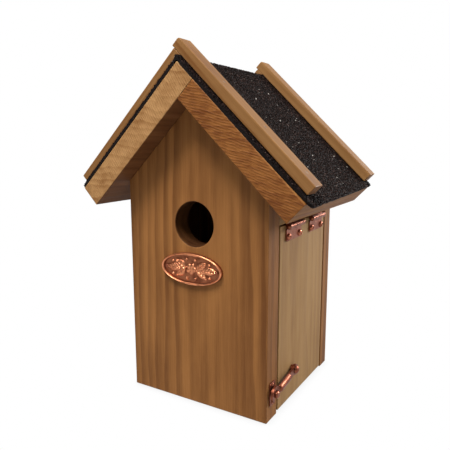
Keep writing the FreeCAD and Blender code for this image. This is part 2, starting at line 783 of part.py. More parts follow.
# A keyhole plate is let into the back, so that the box hangs flat on a wall.
hanger_z = cell("HangerHeight")
hanger_thick = cell("HangerThick")
hanger_face = y_back - cell("HangerSunk")
hanger_base = hanger_face - hanger_thick
HANGER_CORNER = 5
HANGER_SCREWS = 16
HANGER_CLEARANCE = 0.2
KEYHOLE_DROP = 3
KEYSLOT_RISE = 4
hanger_screw = sunk_screw(radius=1.1, head=2.4, length=10)
hanger_screws = keep(driven("hanger_screws", hanger_screw, [
    Vector(side * HANGER_SCREWS, hanger_face, hanger_z) for side in (-1, 1)
], AXIS_Y), "hanger_screws")


def hanger_slab(spare, thick):
    """The hanger's outline with some room around it, standing back from its seat."""
    slab = plate_with_round_corners(
        cell("HangerLong") + 2 * spare, cell("HangerHigh") + 2 * spare, thick, HANGER_CORNER)
    slab.Placement = FreeCAD.Placement(
        Vector(0, hanger_base, hanger_z), Rotation(-AXIS_X, AXIS_Z, AXIS_Y))
    return slab


def hanger_hole(radius, height):
    """A hole through the hanger at a height from its middle."""
    start = Vector(0, hanger_base - SPARE, hanger_z + height)
    return Part.makeCylinder(radius, hanger_thick + 2 * SPARE, start, AXIS_Y)


slot_radius = cell("KeyslotRadius")
slot_run = Part.makeBox(
    2 * slot_radius, hanger_thick + 2 * SPARE, KEYHOLE_DROP + KEYSLOT_RISE,
    Vector(-slot_radius, hanger_base - SPARE, hanger_z - KEYHOLE_DROP))
keyhole = hanger_hole(cell("KeyholeRadius"), -KEYHOLE_DROP).fuse(
    hanger_hole(slot_radius, KEYSLOT_RISE)).fuse(slot_run)
hanger = doc.addObject("Part::Feature", "hanger")
hanger.Shape = hanger_slab(0, hanger_thick).cut(keyhole).cut(hanger_screws.Shape)
keep(hanger, "wall_hanger")

hanger_seat = doc.addObject("Part::Feature", "hanger_seat")
hanger_seat.Shape = hanger_slab(HANGER_CLEARANCE, hanger_thick + SPARE)

# Room for the head of the wall screw behind the plate.
head_room = doc.addObject("Part::Cylinder", "head_room")
bind(head_room, Radius="Dims.HeadRoomRadius", Height="Dims.HeadRoomDeep")
head_room.Placement = FreeCAD.Placement(
    Vector(0, y_back - cell("HeadRoomDeep"), hanger_z), Rotation(AXIS_Z, AXIS_Y))

# ---------------------------------------------------------------- pieces with their holes

bored(front, "front_panel", front_pins, roof_nails, plaque_pins, catch_screws, stud)
bored(back, "back_panel", back_nails, roof_nails, hanger_screws, hanger_seat, head_room)
bored(left_side, "left_side_panel", front_pins, back_nails)
bored(rail, "door_rail", front_pins, back_nails, frame_screws)
bored(floor, "floor_board", front_pins, back_nails)
bored(door, "door_panel", door_screws, pivot)
bored(roof_left, "roof_board_left", roof_nails, batten_nails)
bored(roof_right, "roof_board_right", roof_nails, batten_nails)
bored(felt, "roof_felt", batten_nails)
for node, body in battens.items():
    bored(body, node, batten_nails)

# ---------------------------------------------------------------- checks and files

doc.recompute()
for feature in doc.Objects:
    if "Invalid" in feature.State or "Error" in feature.State:
        raise RuntimeError(f"{feature.Label} failed: {feature.State}")

os.makedirs(NODE_FOLDER, exist_ok=True)
for feature in sub_parts:
    shape = feature.Shape
    if shape.isNull() or not shape.isValid() or not shape.Solids:
        raise RuntimeError(f"{feature.Label} has no valid solid")
    shape.exportStep(os.path.join(NODE_FOLDER, f"{feature.Label}.step"))
    print(f"{feature.Label}: {len(shape.Solids)} solid(s), {shape.Volume:.0f} mm3")
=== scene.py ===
"""A wooden nest box: looks for the boards, the mineral felt and the copper hardware."""

import json
import math

import bmesh
import bpy
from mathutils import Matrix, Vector, noise


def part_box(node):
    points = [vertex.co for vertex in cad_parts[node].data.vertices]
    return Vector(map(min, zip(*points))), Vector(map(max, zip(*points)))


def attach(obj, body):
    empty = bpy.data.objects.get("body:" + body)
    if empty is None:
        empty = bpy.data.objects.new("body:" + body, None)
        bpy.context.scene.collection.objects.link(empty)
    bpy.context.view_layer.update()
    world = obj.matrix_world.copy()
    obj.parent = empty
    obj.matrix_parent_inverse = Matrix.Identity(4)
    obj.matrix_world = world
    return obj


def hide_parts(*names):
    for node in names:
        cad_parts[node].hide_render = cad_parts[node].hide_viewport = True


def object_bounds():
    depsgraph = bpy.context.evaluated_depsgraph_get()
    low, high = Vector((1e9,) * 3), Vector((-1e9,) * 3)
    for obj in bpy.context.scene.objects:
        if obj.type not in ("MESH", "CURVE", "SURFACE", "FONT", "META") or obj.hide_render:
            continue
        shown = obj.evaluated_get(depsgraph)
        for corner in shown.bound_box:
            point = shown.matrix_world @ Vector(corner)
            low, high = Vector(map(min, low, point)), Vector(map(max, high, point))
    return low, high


bl_info = {
    "name": "Nest Box",
    "version": (1, 0, 0),
    "blender": (4, 5, 0),
    "location": "3D View > Sidebar > Nest Box",
    "description": "Finishes a wooden nest box with felt, granules and copper hardware",
    "category": "Object",
}

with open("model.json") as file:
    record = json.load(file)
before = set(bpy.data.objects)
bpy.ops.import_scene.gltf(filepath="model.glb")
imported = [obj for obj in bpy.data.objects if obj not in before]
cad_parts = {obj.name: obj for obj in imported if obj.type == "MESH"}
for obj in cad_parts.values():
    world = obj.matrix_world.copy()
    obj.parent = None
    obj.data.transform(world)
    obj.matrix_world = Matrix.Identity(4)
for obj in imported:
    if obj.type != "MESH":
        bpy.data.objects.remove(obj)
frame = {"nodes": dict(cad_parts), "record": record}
cad_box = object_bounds()
MM = 0.001


def on_body(node):
    """The name of the CAD body that a node belongs to."""
    bodies = frame["record"]["behaviour"]["bodies"]
    return next(body for body, nodes in bodies.items() if node in nodes)


def srgb(red, green, blue):
    """A colour picked on a 0-255 scale, as linear red, green, blue and alpha."""
    levels = [value / 255 for value in (red, green, blue)]
    return tuple(v / 12.92 if v <= 0.04045 else ((v + 0.055) / 1.055) ** 2.4 for v in levels) + (1.0,)


# ------------------------------------------------------------------ measures

felt_low, felt_high = (Vector(c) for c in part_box("roof_felt"))
plaque_low, plaque_high = (Vector(c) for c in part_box("oval_plaque"))

# The roof's section, with the same values as the CAD.
ROOF_PITCH = math.radians(44)
APEX = 0.2163
ROOF_THICK = 0.0166
FELT_THICK = 0.003


# ------------------------------------------------------------------ settings


class NestBoxWood(bpy.types.PropertyGroup):
    """Stain colours of the boards."""

    panel_light: bpy.props.FloatVectorProperty(
        name="Panel Light", description="Early wood of the front, back and fixed side",
        subtype="COLOR", size=4, min=0, max=1, default=srgb(155, 104, 55))
    panel_dark: bpy.props.FloatVectorProperty(
        name="Panel Dark", description="Late wood of the front, back and fixed side",
        subtype="COLOR", size=4, min=0, max=1, default=srgb(104, 62, 26))
    door_light: bpy.props.FloatVectorProperty(
        name="Door Light", description="Early wood of the door",
        subtype="COLOR", size=4, min=0, max=1, default=srgb(168, 131, 85))
    door_dark: bpy.props.FloatVectorProperty(
        name="Door Dark", description="Late wood of the door",
        subtype="COLOR", size=4, min=0, max=1, default=srgb(134, 96, 54))
    roof_light: bpy.props.FloatVectorProperty(
        name="Roof Light", description="Early wood of the roof boards",
        subtype="COLOR", size=4, min=0, max=1, default=srgb(152, 104, 53))
    roof_dark: bpy.props.FloatVectorProperty(
        name="Roof Dark", description="Late wood of the roof boards",
        subtype="COLOR", size=4, min=0, max=1, default=srgb(114, 68, 25))
    batten_light: bpy.props.FloatVectorProperty(
        name="Batten Light", description="Early wood of the verge battens",
        subtype="COLOR", size=4, min=0, max=1, default=srgb(149, 108, 63))
    batten_dark: bpy.props.FloatVectorProperty(
        name="Batten Dark", description="Late wood of the verge battens",
        subtype="COLOR", size=4, min=0, max=1, default=srgb(118, 76, 36))


class NestBoxFelt(bpy.types.PropertyGroup):
    """Mineral felt on the roof."""

    granule_size: bpy.props.FloatProperty(
        name="Granule Size", description="Width of a large granule",
        default=1.15 * MM, min=0.2 * MM, max=4 * MM, unit="LENGTH", precision=5)
    granule_density: bpy.props.FloatProperty(
        name="Granule Density", description="Granules on a square metre",
        default=940000, min=0)
    sheet_thick: bpy.props.FloatProperty(
        name="Sheet Thickness", description="Felt without its granules",
        default=2.3 * MM, min=0.2 * MM, max=5 * MM, unit="LENGTH", precision=5)
    tar: bpy.props.FloatVectorProperty(
        name="Bitumen", description="Colour between the granules",
        subtype="COLOR", size=4, min=0, max=1, default=srgb(19, 13, 11))


class NestBoxHardware(bpy.types.PropertyGroup):
    """Copper hinges, latch and plaque."""

    copper: bpy.props.FloatVectorProperty(
        name="Copper", description="Clean copper of the screws",
        subtype="COLOR", size=4, min=0, max=1, default=srgb(180, 112, 86))
    hinges: bpy.props.FloatVectorProperty(
        name="Hinges", description="Clean copper of the hinges and the catch plate",
        subtype="COLOR", size=4, min=0, max=1, default=srgb(142, 84, 62))
    latch: bpy.props.FloatVectorProperty(
        name="Latch", description="Handled copper of the latch",
        subtype="COLOR", size=4, min=0, max=1, default=srgb(140, 82, 61))
    polished: bpy.props.FloatVectorProperty(
        name="Polished Copper", description="Rubbed copper of the plaque",
        subtype="COLOR", size=4, min=0, max=1, default=srgb(247, 164, 118))
    tarnish: bpy.props.FloatVectorProperty(
        name="Tarnish", description="Darkened copper",
        subtype="COLOR", size=4, min=0, max=1, default=srgb(84, 33, 21))
    relief_height: bpy.props.FloatProperty(
        name="Relief Height", description="Leaves of the plaque above its field",
        default=1.35 * MM, min=0, max=2 * MM, unit="LENGTH", precision=5)


class NestBoxStage(bpy.types.PropertyGroup):
    """Floor, light and camera."""

    floor: bpy.props.FloatVectorProperty(
        name="Floor", description="Colour of the floor",
        subtype="COLOR", size=4, min=0, max=1, default=(0.3, 0.3, 0.3, 1.0))
    lens: bpy.props.FloatProperty(
        name="Lens", description="Focal length of the camera in millimetres",
        default=39.6, min=10, max=200)


class NestBoxSettings(bpy.types.PropertyGroup):
    """All settings of the nest box."""

    wood: bpy.props.PointerProperty(type=NestBoxWood)
    felt: bpy.props.PointerProperty(type=NestBoxFelt)
    hardware: bpy.props.PointerProperty(type=NestBoxHardware)
    stage: bpy.props.PointerProperty(type=NestBoxStage)


# ------------------------------------------------------------------ node helpers


def plug(tree, socket, value):
    """Link a socket to another socket, or give it a value."""
    if isinstance(value, bpy.types.NodeSocket):
        tree.links.new(value, socket)
    else:
        socket.default_value = value


def add(tree, kind, sockets=None, **settings):
    """A node with its settings and sockets; a socket is named by its name or its number."""
    node = tree.nodes.new(kind)
    for name, value in settings.items():
        setattr(node, name, value)
    for key, value in (sockets or {}).items():
        if isinstance(key, int):
            plug(tree, node.inputs[key], value)
        else:
            plug(tree, next(s for s in node.inputs if s.name == key and s.enabled), value)
    return node


def calc(tree, operation, *values, clamp=False):
    """The result socket of a Math node."""
    node = add(tree, "ShaderNodeMath", dict(enumerate(values)), operation=operation, use_clamp=clamp)
    return node.outputs[0]


def move(tree, operation, *values):
    """The result socket of a Vector Math node."""
    node = add(tree, "ShaderNodeVectorMath", dict(enumerate(values)), operation=operation)
    return node.outputs["Value" if operation in ("DOT_PRODUCT", "LENGTH") else "Vector"]


def scale_of(tree, vector, factors):
    """A vector stretched along its axes."""
    return move(tree, "MULTIPLY", vector, factors)


def grain_noise(tree, vector, scale, detail=3.0, rough=0.55):
    """The value of a Noise Texture node."""
    node = add(tree, "ShaderNodeTexNoise",
               {"Vector": vector, "Scale": scale, "Detail": detail, "Roughness": rough})
    return node.outputs["Fac"]


def blend_colour(tree, factor, first, second, mode="MIX"):
    """The colour from a Mix node."""
    node = tree.nodes.new("ShaderNodeMix")
    node.data_type = "RGBA"
    node.blend_type = mode
    for name, value in (("Factor", factor), ("A", first), ("B", second)):
        plug(tree, next(s for s in node.inputs if s.name == name and s.enabled), value)
    return next(s for s in node.outputs if s.enabled)


def tinted(tree, mask, colour, factor):
    """A colour, multiplied by a factor where the mask is 1."""
    return blend_colour(tree, mask, colour, blend_colour(tree, 1.0, colour, factor, "MULTIPLY"))


def object_place(tree):
    """Object coordinates in metres, and the same in millimetres."""
    place = add(tree, "ShaderNodeTexCoord").outputs["Object"]
    in_mm = add(tree, "ShaderNodeMapping", {"Vector": place, "Scale": (1000,) * 3})
    return place, in_mm.outputs["Vector"]


def remap(tree, value, low, high, to_low=0.0, to_high=1.0):
    """A value taken smoothly from one range to another, and held at its ends."""
    node = add(tree, "ShaderNodeMapRange",
               {"Value": value, "From Min": low, "From Max": high, "To Min": to_low, "To Max": to_high},
               interpolation_type="SMOOTHSTEP")
    return node.outputs["Result"]


SOCKET_KINDS = {"value": "NodeSocketFloat", "colour": "NodeSocketColor", "vector": "NodeSocketVector"}


def shader_group(name, inputs, outputs):
    """An empty shader node group with its sockets, and its two end nodes."""
    group = bpy.data.node_groups.new(name, "ShaderNodeTree")
    for direction, sockets in (("INPUT", inputs), ("OUTPUT", outputs)):
        for socket_name, kind in sockets:
            group.interface.new_socket(
                name=socket_name, in_out=direction, socket_type=SOCKET_KINDS[kind])
    return group, group.nodes.new("NodeGroupInput"), group.nodes.new("NodeGroupOutput")


def use_group(tree, group, sockets):
    """A shader node group in a tree, with its inputs filled."""
    node = tree.nodes.new("ShaderNodeGroup")
    node.node_tree = group
    for name, value in sockets.items():
        plug(tree, node.inputs[name], value)
    return node


# ------------------------------------------------------------------ shared effects


def make_pine_group():
    """Growth rings, streaks and fibres of pine; the grain runs along Z, in millimetres."""
    tree, start, end = shader_group(
        "Pine Grain",
        [("Vector", "vector"), ("Light", "colour"), ("Dark", "colour"), ("Ring Width", "value"),
         ("Contrast", "value"), ("Streaks", "value")],
        [("Color", "colour"), ("Roughness", "value"), ("Height", "value")])
    vector = start.outputs["Vector"]
    wander = add(tree, "ShaderNodeTexNoise",
                 {"Vector": scale_of(tree, vector, (0.016, 0.016, 0.004)), "Scale": 1.0, "Detail": 2.0})
    pushed = move(tree, "MULTIPLY_ADD", wander.outputs["Color"], (15, 15, 0), vector)
    radius = move(tree, "LENGTH", scale_of(tree, pushed, (1, 1, 0)))
    uneven = grain_noise(tree, scale_of(tree, vector, (0.1, 0.1, 0.008)), 1.0, 2.0)
    rings = calc(tree, "DIVIDE", calc(tree, "MULTIPLY_ADD", uneven, 5.0, radius),
                 start.outputs["Ring Width"])
    phase = calc(tree, "FRACT", rings)
    late = calc(tree, "MULTIPLY", remap(tree, phase, 0.1, 0.85), remap(tree, phase, 1.0, 0.88))
    which = grain_noise(tree, calc(tree, "FLOOR", rings), 3.7, 0.0)
    late = calc(tree, "MULTIPLY", late, remap(tree, which, 0.3, 0.65, 0.25, 1.0))
    streak = grain_noise(tree, scale_of(tree, vector, (0.11, 0.11, 0.003)), 1.0, 3.0)
    fibre = grain_noise(tree, scale_of(tree, vector, (2.2, 2.2, 0.045)), 1.0, 4.0, 0.65)
    blotch = grain_noise(tree, scale_of(tree, vector, (0.03, 0.03, 0.014)), 1.0, 3.0)
    dark = calc(tree, "MULTIPLY", late, start.outputs["Contrast"])
    dark = calc(tree, "MULTIPLY_ADD", remap(tree, streak, 0.36, 0.66), start.outputs["Streaks"], dark)
    dark = calc(tree, "MULTIPLY_ADD", remap(tree, fibre, 0.35, 0.7), 0.2, dark)
    dark = calc(tree, "MULTIPLY_ADD", remap(tree, blotch, 0.35, 0.68), 0.3, dark)
    dark = calc(tree, "SUBTRACT", dark, 0.12, clamp=True)
    colour = blend_colour(tree, dark, start.outputs["Light"], start.outputs["Dark"])
    plug(tree, end.inputs["Color"], colour)
    rough = remap(tree, fibre, 0.3, 0.7, 0.55, 0.72)
    plug(tree, end.inputs["Roughness"], calc(tree, "MULTIPLY_ADD", late, -0.08, rough))
    height = calc(tree, "MULTIPLY_ADD", late, 0.45, calc(tree, "MULTIPLY", fibre, 0.55))
    plug(tree, end.inputs["Height"], height)
    return tree


def make_arris_group():
    """A mask of the eased edges of a board."""
    tree, start, end = shader_group("Board Arris", [("Width", "value")], [("Mask", "value")])
    rounded = add(tree, "ShaderNodeBevel", {"Radius": start.outputs["Width"]}, samples=6)
    surface = add(tree, "ShaderNodeNewGeometry")
    alike = move(tree, "DOT_PRODUCT", rounded.outputs["Normal"], surface.outputs["Normal"])
    plug(tree, end.inputs["Mask"], remap(tree, alike, 0.995, 0.88))
    return tree


def make_saw_group():
    """Fine parallel marks of a saw across the cut ends of a board."""
    tree, start, end = shader_group(
        "Saw Marks", [("Vector", "vector"), ("Pitch", "value"), ("Angle", "value")],
        [("Mask", "value")])
    turned = add(tree, "ShaderNodeVectorRotate",
                 {"Vector": start.outputs["Vector"], "Angle": start.outputs["Angle"]},
                 rotation_type="Z_AXIS")
    wobble = grain_noise(tree, scale_of(tree, start.outputs["Vector"], (0.05, 0.05, 0.05)), 1.0, 2.0)
    across = add(tree, "ShaderNodeSeparateXYZ", {"Vector": turned.outputs["Vector"]})
    line = calc(tree, "MULTIPLY_ADD", wobble, 4.0, across.outputs["X"])
    wave = calc(tree, "SINE", calc(tree, "DIVIDE", line, start.outputs["Pitch"]))
    torn = grain_noise(tree, scale_of(tree, turned.outputs["Vector"], (1.6, 0.25, 1.0)), 1.0, 3.0)
    wave = calc(tree, "MULTIPLY_ADD", wave, 0.5, 0.5)
    plug(tree, end.inputs["Mask"], calc(tree, "MULTIPLY", wave, remap(tree, torn, 0.3, 0.65)))
    return tree


def make_tarnish_group():
    """Blotches and fine scratches of handled copper."""
    tree, start, end = shader_group(
        "Copper Tarnish", [("Vector", "vector"), ("Clean", "colour"), ("Dark", "colour")],
        [("Color", "colour"), ("Roughness", "value"), ("Height", "value")])
    vector = start.outputs["Vector"]
    blotch = grain_noise(tree, vector, 0.16, 3.0, 0.6)
    speck = grain_noise(tree, vector, 1.4, 3.0, 0.6)
    scratch = grain_noise(tree, scale_of(tree, vector, (0.5, 0.35, 1.4)), 1.0, 2.0, 0.5)
    stain = calc(tree, "MULTIPLY_ADD", remap(tree, speck, 0.5, 0.75), 0.2,
                 remap(tree, blotch, 0.42, 0.72), clamp=True)
    plug(tree, end.inputs["Color"],
         blend_colour(tree, calc(tree, "MULTIPLY", stain, 0.55), start.outputs["Clean"],
                      start.outputs["Dark"]))
    rough = calc(tree, "MULTIPLY_ADD", stain, 0.14, remap(tree, scratch, 0.3, 0.7, 0.3, 0.42))
    plug(tree, end.inputs["Roughness"], rough)
    plug(tree, end.inputs["Height"], scratch)
    return tree


# ------------------------------------------------------------------ materials


def new_material(name):
    """A material with one Principled surface, its node tree and that surface."""
    material = bpy.data.materials.new(name)
    material.use_nodes = True
    tree = material.node_tree
    tree.nodes.clear()
    out = tree.nodes.new("ShaderNodeOutputMaterial")
    surface = tree.nodes.new("ShaderNodeBsdfPrincipled")
    tree.links.new(surface.outputs[0], out.inputs["Surface"])
    return material, tree, surface


def bump(tree, height, distance, strength, normal=None):
    """The normal from a Bump node."""
    sockets = {"Height": height, "Distance": distance, "Strength": strength}
    if normal is not None:
        sockets["Normal"] = normal
    return add(tree, "ShaderNodeBump", sockets).outputs["Normal"]


# Turns that bring the grain of each board onto Z.
GRAIN_TURNS = {
    "up": (0.0, 0.0, 0.0),
    "deep": (math.pi / 2, 0.0, 0.0),
    "across": (0.0, math.pi / 2, 0.0),
    "right slope": (0.0, math.pi / 2 - ROOF_PITCH, 0.0),
    "left slope": (0.0, math.pi / 2 + ROOF_PITCH, 0.0),
}


def pine(name, grain, pith, light, dark, ring=7.0, contrast=0.55, streaks=0.5,
         end_tint=(0.82, 0.72, 0.62, 1.0), saw_angle=0.0, arris_wear_and_highlight=1.25, painted_shade_hole=None,
         painted_shade_side=None, sawn=1.0):
    """Stained pine. pith is the middle of the growth rings from the frame's origin, in mm.

    painted_shade_hole is the middle and the radius of a hole whose inside is painted with shade,
    painted_shade_side is a direction and the tint of painted shade on the faces that look that way,
    arris_wear_and_highlight is how much paler the edges are painted, as wear and as a painted
    highlight, and sawn is how rough the cut ends are.
    """
    material, tree, surface = new_material(name)
    groups = bpy.data.node_groups
    place = add(tree, "ShaderNodeTexCoord").outputs["Object"]
    turned = add(tree, "ShaderNodeMapping", {
        "Vector": place, "Location": pith, "Rotation": GRAIN_TURNS[grain], "Scale": (1000,) * 3})
    vector = turned.outputs["Vector"]
    wood = use_group(tree, groups["Pine Grain"], {
        "Vector": vector, "Light": light, "Dark": dark, "Ring Width": ring, "Contrast": contrast,
        "Streaks": streaks})
    world_normal = add(tree, "ShaderNodeNewGeometry").outputs["Normal"]
    normal = add(tree, "ShaderNodeVectorTransform", {"Vector": world_normal}, vector_type="NORMAL",
                 convert_from="WORLD", convert_to="OBJECT").outputs["Vector"]
    local = add(tree, "ShaderNodeVectorRotate",
                {"Vector": normal, "Rotation": GRAIN_TURNS[grain]}, rotation_type="EULER_XYZ")
    along = add(tree, "ShaderNodeSeparateXYZ", {"Vector": local.outputs["Vector"]}).outputs["Z"]
    cut_end = remap(tree, calc(tree, "ABSOLUTE", along), 0.75, 0.92)
    saw = use_group(tree, groups["Saw Marks"], {"Vector": vector, "Pitch": 0.26, "Angle": saw_angle})
    saw_mask = calc(tree, "MULTIPLY", saw.outputs["Mask"], cut_end)
    colour = tinted(tree, cut_end, wood.outputs["Color"], end_tint)
    colour = tinted(tree, calc(tree, "MULTIPLY", saw_mask, 0.28), colour, (0.55, 0.45, 0.36, 1.0))
    # Painted shade: faces that look along the given direction get a darker tint, on the left roof board's
    # underside and on the battens' outer faces.
    if painted_shade_side is not None:
        direction, shade_tint = painted_shade_side
        facing = remap(tree, move(tree, "DOT_PRODUCT", normal, direction), 0.5, 0.85)
        colour = tinted(tree, facing, colour, shade_tint)
    # Painted shade: the wall of the entrance hole is tinted nearly black, where shade falls inside it.
    if painted_shade_hole is not None:
        middle, radius = painted_shade_hole
        away = scale_of(tree, move(tree, "SUBTRACT", place, middle), (1, 0, 1))
        inside = remap(tree, move(tree, "LENGTH", away), radius + 0.5 * MM, radius - 0.1 * MM)
        colour = tinted(tree, calc(tree, "MULTIPLY", inside, 0.95), colour, (0.2, 0.17, 0.15, 1.0))
    # Paler edges: partly rubbed wood at the arrises, partly a painted highlight along them.
    arris = use_group(tree, groups["Board Arris"], {"Width": 1.3 * MM}).outputs["Mask"]
    wear_and_highlight_tint = (arris_wear_and_highlight, arris_wear_and_highlight, arris_wear_and_highlight * 0.98, 1.0)
    colour = tinted(tree, calc(tree, "MULTIPLY", arris, 0.7), colour, wear_and_highlight_tint)
    plug(tree, surface.inputs["Base Color"], colour)
    plug(tree, surface.inputs["Roughness"], wood.outputs["Roughness"])
    open_pores = remap(tree, cut_end, 0.0, 1.0, 0.7, 0.7 * sawn)
    fine = bump(tree, wood.outputs["Height"], 0.14 * MM, open_pores)
    plug(tree, surface.inputs["Normal"], bump(tree, saw_mask, 0.22 * MM, 0.8 * sawn, fine))
    surface.inputs["Specular IOR Level"].default_value = 0.2
    return material


def copper(name, hardware, brushed=0.1, clean=None, low=None, fade=None):
    """Tarnished copper. If low is given, it darkens toward that Y over the distance fade."""
    material, tree, surface = new_material(name)
    place, vector = object_place(tree)
    tarnish = use_group(tree, bpy.data.node_groups["Copper Tarnish"], {
        "Vector": vector, "Clean": clean or hardware.copper, "Dark": hardware.tarnish})
    colour = tarnish.outputs["Color"]
    if low is not None:
        forward = add(tree, "ShaderNodeSeparateXYZ", {"Vector": place}).outputs["Y"]
        recess = remap(tree, forward, low - fade, low)
        colour = blend_colour(tree, calc(tree, "MULTIPLY", recess, 0.7), colour,
                              tuple(hardware.tarnish))
    plug(tree, surface.inputs["Base Color"], colour)
    plug(tree, surface.inputs["Roughness"], tarnish.outputs["Roughness"])
    plug(tree, surface.inputs["Normal"], bump(tree, tarnish.outputs["Height"], 0.03 * MM, brushed))
    surface.inputs["Metallic"].default_value = 1.0
    return material


def steel(name, light, dark):
    """Dull metal with the flecks of galvanized steel."""
    material, tree, surface = new_material(name)
    _, vector = object_place(tree)
    cells = add(tree, "ShaderNodeTexVoronoi", {"Vector": vector, "Scale": 0.45}, feature="F1")
    tone = remap(tree, cells.outputs["Distance"], 0.0, 1.2)
    fleck = grain_noise(tree, vector, 1.8, 4.0, 0.6)
    plug(tree, surface.inputs["Base Color"], blend_colour(tree, tone, light, dark))
    plug(tree, surface.inputs["Roughness"], remap(tree, fleck, 0.3, 0.7, 0.32, 0.5))
    plug(tree, surface.inputs["Normal"], bump(tree, fleck, 0.04 * MM, 0.3))
    surface.inputs["Metallic"].default_value = 1.0
    return material


def bitumen(name, felt):
    """Gritty tar between the granules."""
    material, tree, surface = new_material(name)
    _, vector = object_place(tree)
    cells = add(tree, "ShaderNodeTexVoronoi", {"Vector": vector, "Scale": 1.5}, feature="F1")
    grit = cells.outputs["Distance"]
    patch = grain_noise(tree, vector, 0.25, 3.0)
    dusty = calc(tree, "MULTIPLY", remap(tree, grit, 0.6, 0.1), remap(tree, patch, 0.3, 0.7))
    plug(tree, surface.inputs["Base Color"], tinted(tree, dusty, felt.tar, (2.2, 2.0, 1.9, 1.0)))
    plug(tree, surface.inputs["Roughness"], remap(tree, grit, 0.0, 0.7, 0.55, 0.85))
    plug(tree, surface.inputs["Normal"], bump(tree, remap(tree, grit, 0.7, 0.0), 0.35 * MM, 0.9))
    surface.inputs["Specular IOR Level"].default_value = 0.12
    return material


def granite(name):
    """Crushed stone granules; each granule's own tone picks its colour."""
    material, tree, surface = new_material(name)
    tone = add(tree, "ShaderNodeAttribute", attribute_name="tone").outputs["Fac"]
    ramp = tree.nodes.new("ShaderNodeValToRGB")
    ramp.color_ramp.interpolation = "LINEAR"
    stops = [(0.0, srgb(12, 6, 5)), (0.6, srgb(25, 15, 12)), (0.88, srgb(48, 33, 29)),
             (0.98, srgb(74, 57, 51)), (0.9985, srgb(94, 82, 76)), (1.0, srgb(206, 200, 190))]
    elements = ramp.color_ramp.elements
    for index, (position, colour) in enumerate(stops):
        element = elements[index] if index < 2 else elements.new(position)
        element.position = position
        element.color = colour
    plug(tree, ramp.inputs["Fac"], tone)
    plug(tree, surface.inputs["Base Color"], ramp.outputs["Color"])
    place = add(tree, "ShaderNodeTexCoord").outputs["Object"]
    speck = grain_noise(tree, place, 2500.0, 2.0)
    plug(tree, surface.inputs["Roughness"], remap(tree, speck, 0.3, 0.7, 0.6, 0.9))
    surface.inputs["Specular IOR Level"].default_value = 0.07
    return material


# ------------------------------------------------------------------ mesh helpers


def new_piece(name, bm, material, body, smooth_angle=None):
    """Turn a bmesh into a finished piece that rides on a body."""
    mesh = bpy.data.meshes.new(name)
    bm.to_mesh(mesh)
    bm.free()
    return finish_piece(name, mesh, material, body, smooth_angle)


def finish_piece(name, mesh, material, body, smooth_angle=None):
    """Turn a mesh into a finished piece that rides on a body."""
    mesh.materials.clear()
    mesh.materials.append(material)
    if smooth_angle is not None:
        mesh.set_sharp_from_angle(angle=smooth_angle)
    piece = bpy.data.objects.new(name, mesh)
    bpy.context.scene.collection.objects.link(piece)
    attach(piece, body)
    return piece


def dome(radii, spokes, front, behind):
    """A closed dome. front places a point of the unit disc, and behind the foot of a rim point."""
    bm = bmesh.new()
    turns = [math.tau * spoke / spokes for spoke in range(spokes)]
    loops = []
    for radius in radii:
        loops.append([bm.verts.new(front(radius * math.cos(t), radius * math.sin(t))) for t in turns])
    loops.append([bm.verts.new(behind(vert.co)) for vert in loops[-1]])
    hub = bm.verts.new(front(0.0, 0.0))
    for i in range(spokes):
        j = (i + 1) % spokes
        bm.faces.new((hub, loops[0][i], loops[0][j]))
        for inner, outer in zip(loops, loops[1:]):
            bm.faces.new((inner[i], outer[i], outer[j], inner[j]))
    bm.faces.new(loops[-1][::-1])
    bmesh.ops.recalc_face_normals(bm, faces=bm.faces)
    return bm


def islands(bm):
    """The sets of vertices that edges join."""
    left = set(bm.verts)
    found = []
    while left:
        island, queue = set(), [next(iter(left))]
        while queue:
            vert = queue.pop()
            if vert in left:
                left.remove(vert)
                island.add(vert)
                queue += [edge.other_vert(vert) for edge in vert.link_edges]
        found.append(island)
    return found


def paint_node(node, material):
    """Give a CAD node its finished material."""
    cad_object = frame["nodes"][node]
    cad_object.data.materials.clear()
    cad_object.data.materials.append(material)


def geometry_tree(name, inputs):
    """An empty geometry node tree with named inputs, one geometry in and one out."""
    tree = bpy.data.node_groups.new(name, "GeometryNodeTree")
    tree.interface.new_socket(name="Geometry", in_out="INPUT", socket_type="NodeSocketGeometry")
    for socket_name, kind in inputs:
        tree.interface.new_socket(name=socket_name, in_out="INPUT", socket_type=kind)
    tree.interface.new_socket(name="Geometry", in_out="OUTPUT", socket_type="NodeSocketGeometry")
    return tree, tree.nodes.new("NodeGroupInput"), tree.nodes.new("NodeGroupOutput")


def run_nodes(name, base_mesh, tree, values):
    """The mesh that a geometry node tree makes from a base mesh and named input values."""
    base = bpy.data.objects.new(f"{name}_base", base_mesh)
    bpy.context.scene.collection.objects.link(base)
    modifier = base.modifiers.new("nodes", "NODES")
    modifier.node_group = tree
    for item in tree.interface.items_tree:
        if item.in_out == "INPUT" and item.name in values:
            modifier[item.identifier] = values[item.name]
    graph = bpy.context.evaluated_depsgraph_get()
    mesh = bpy.data.meshes.new_from_object(base.evaluated_get(graph), depsgraph=graph)
    base.modifiers.remove(modifier)
    bpy.data.objects.remove(base)
    return mesh


def slope_point(side, along, height, y):
    """A point down a roof slope from the inner ridge, height square to the slope."""
    x = along * math.cos(ROOF_PITCH) + height * math.sin(ROOF_PITCH)
    z = APEX - along * math.sin(ROOF_PITCH) + height * math.cos(ROOF_PITCH)
    return Vector((side * x, y, z))


# ------------------------------------------------------------------ operators


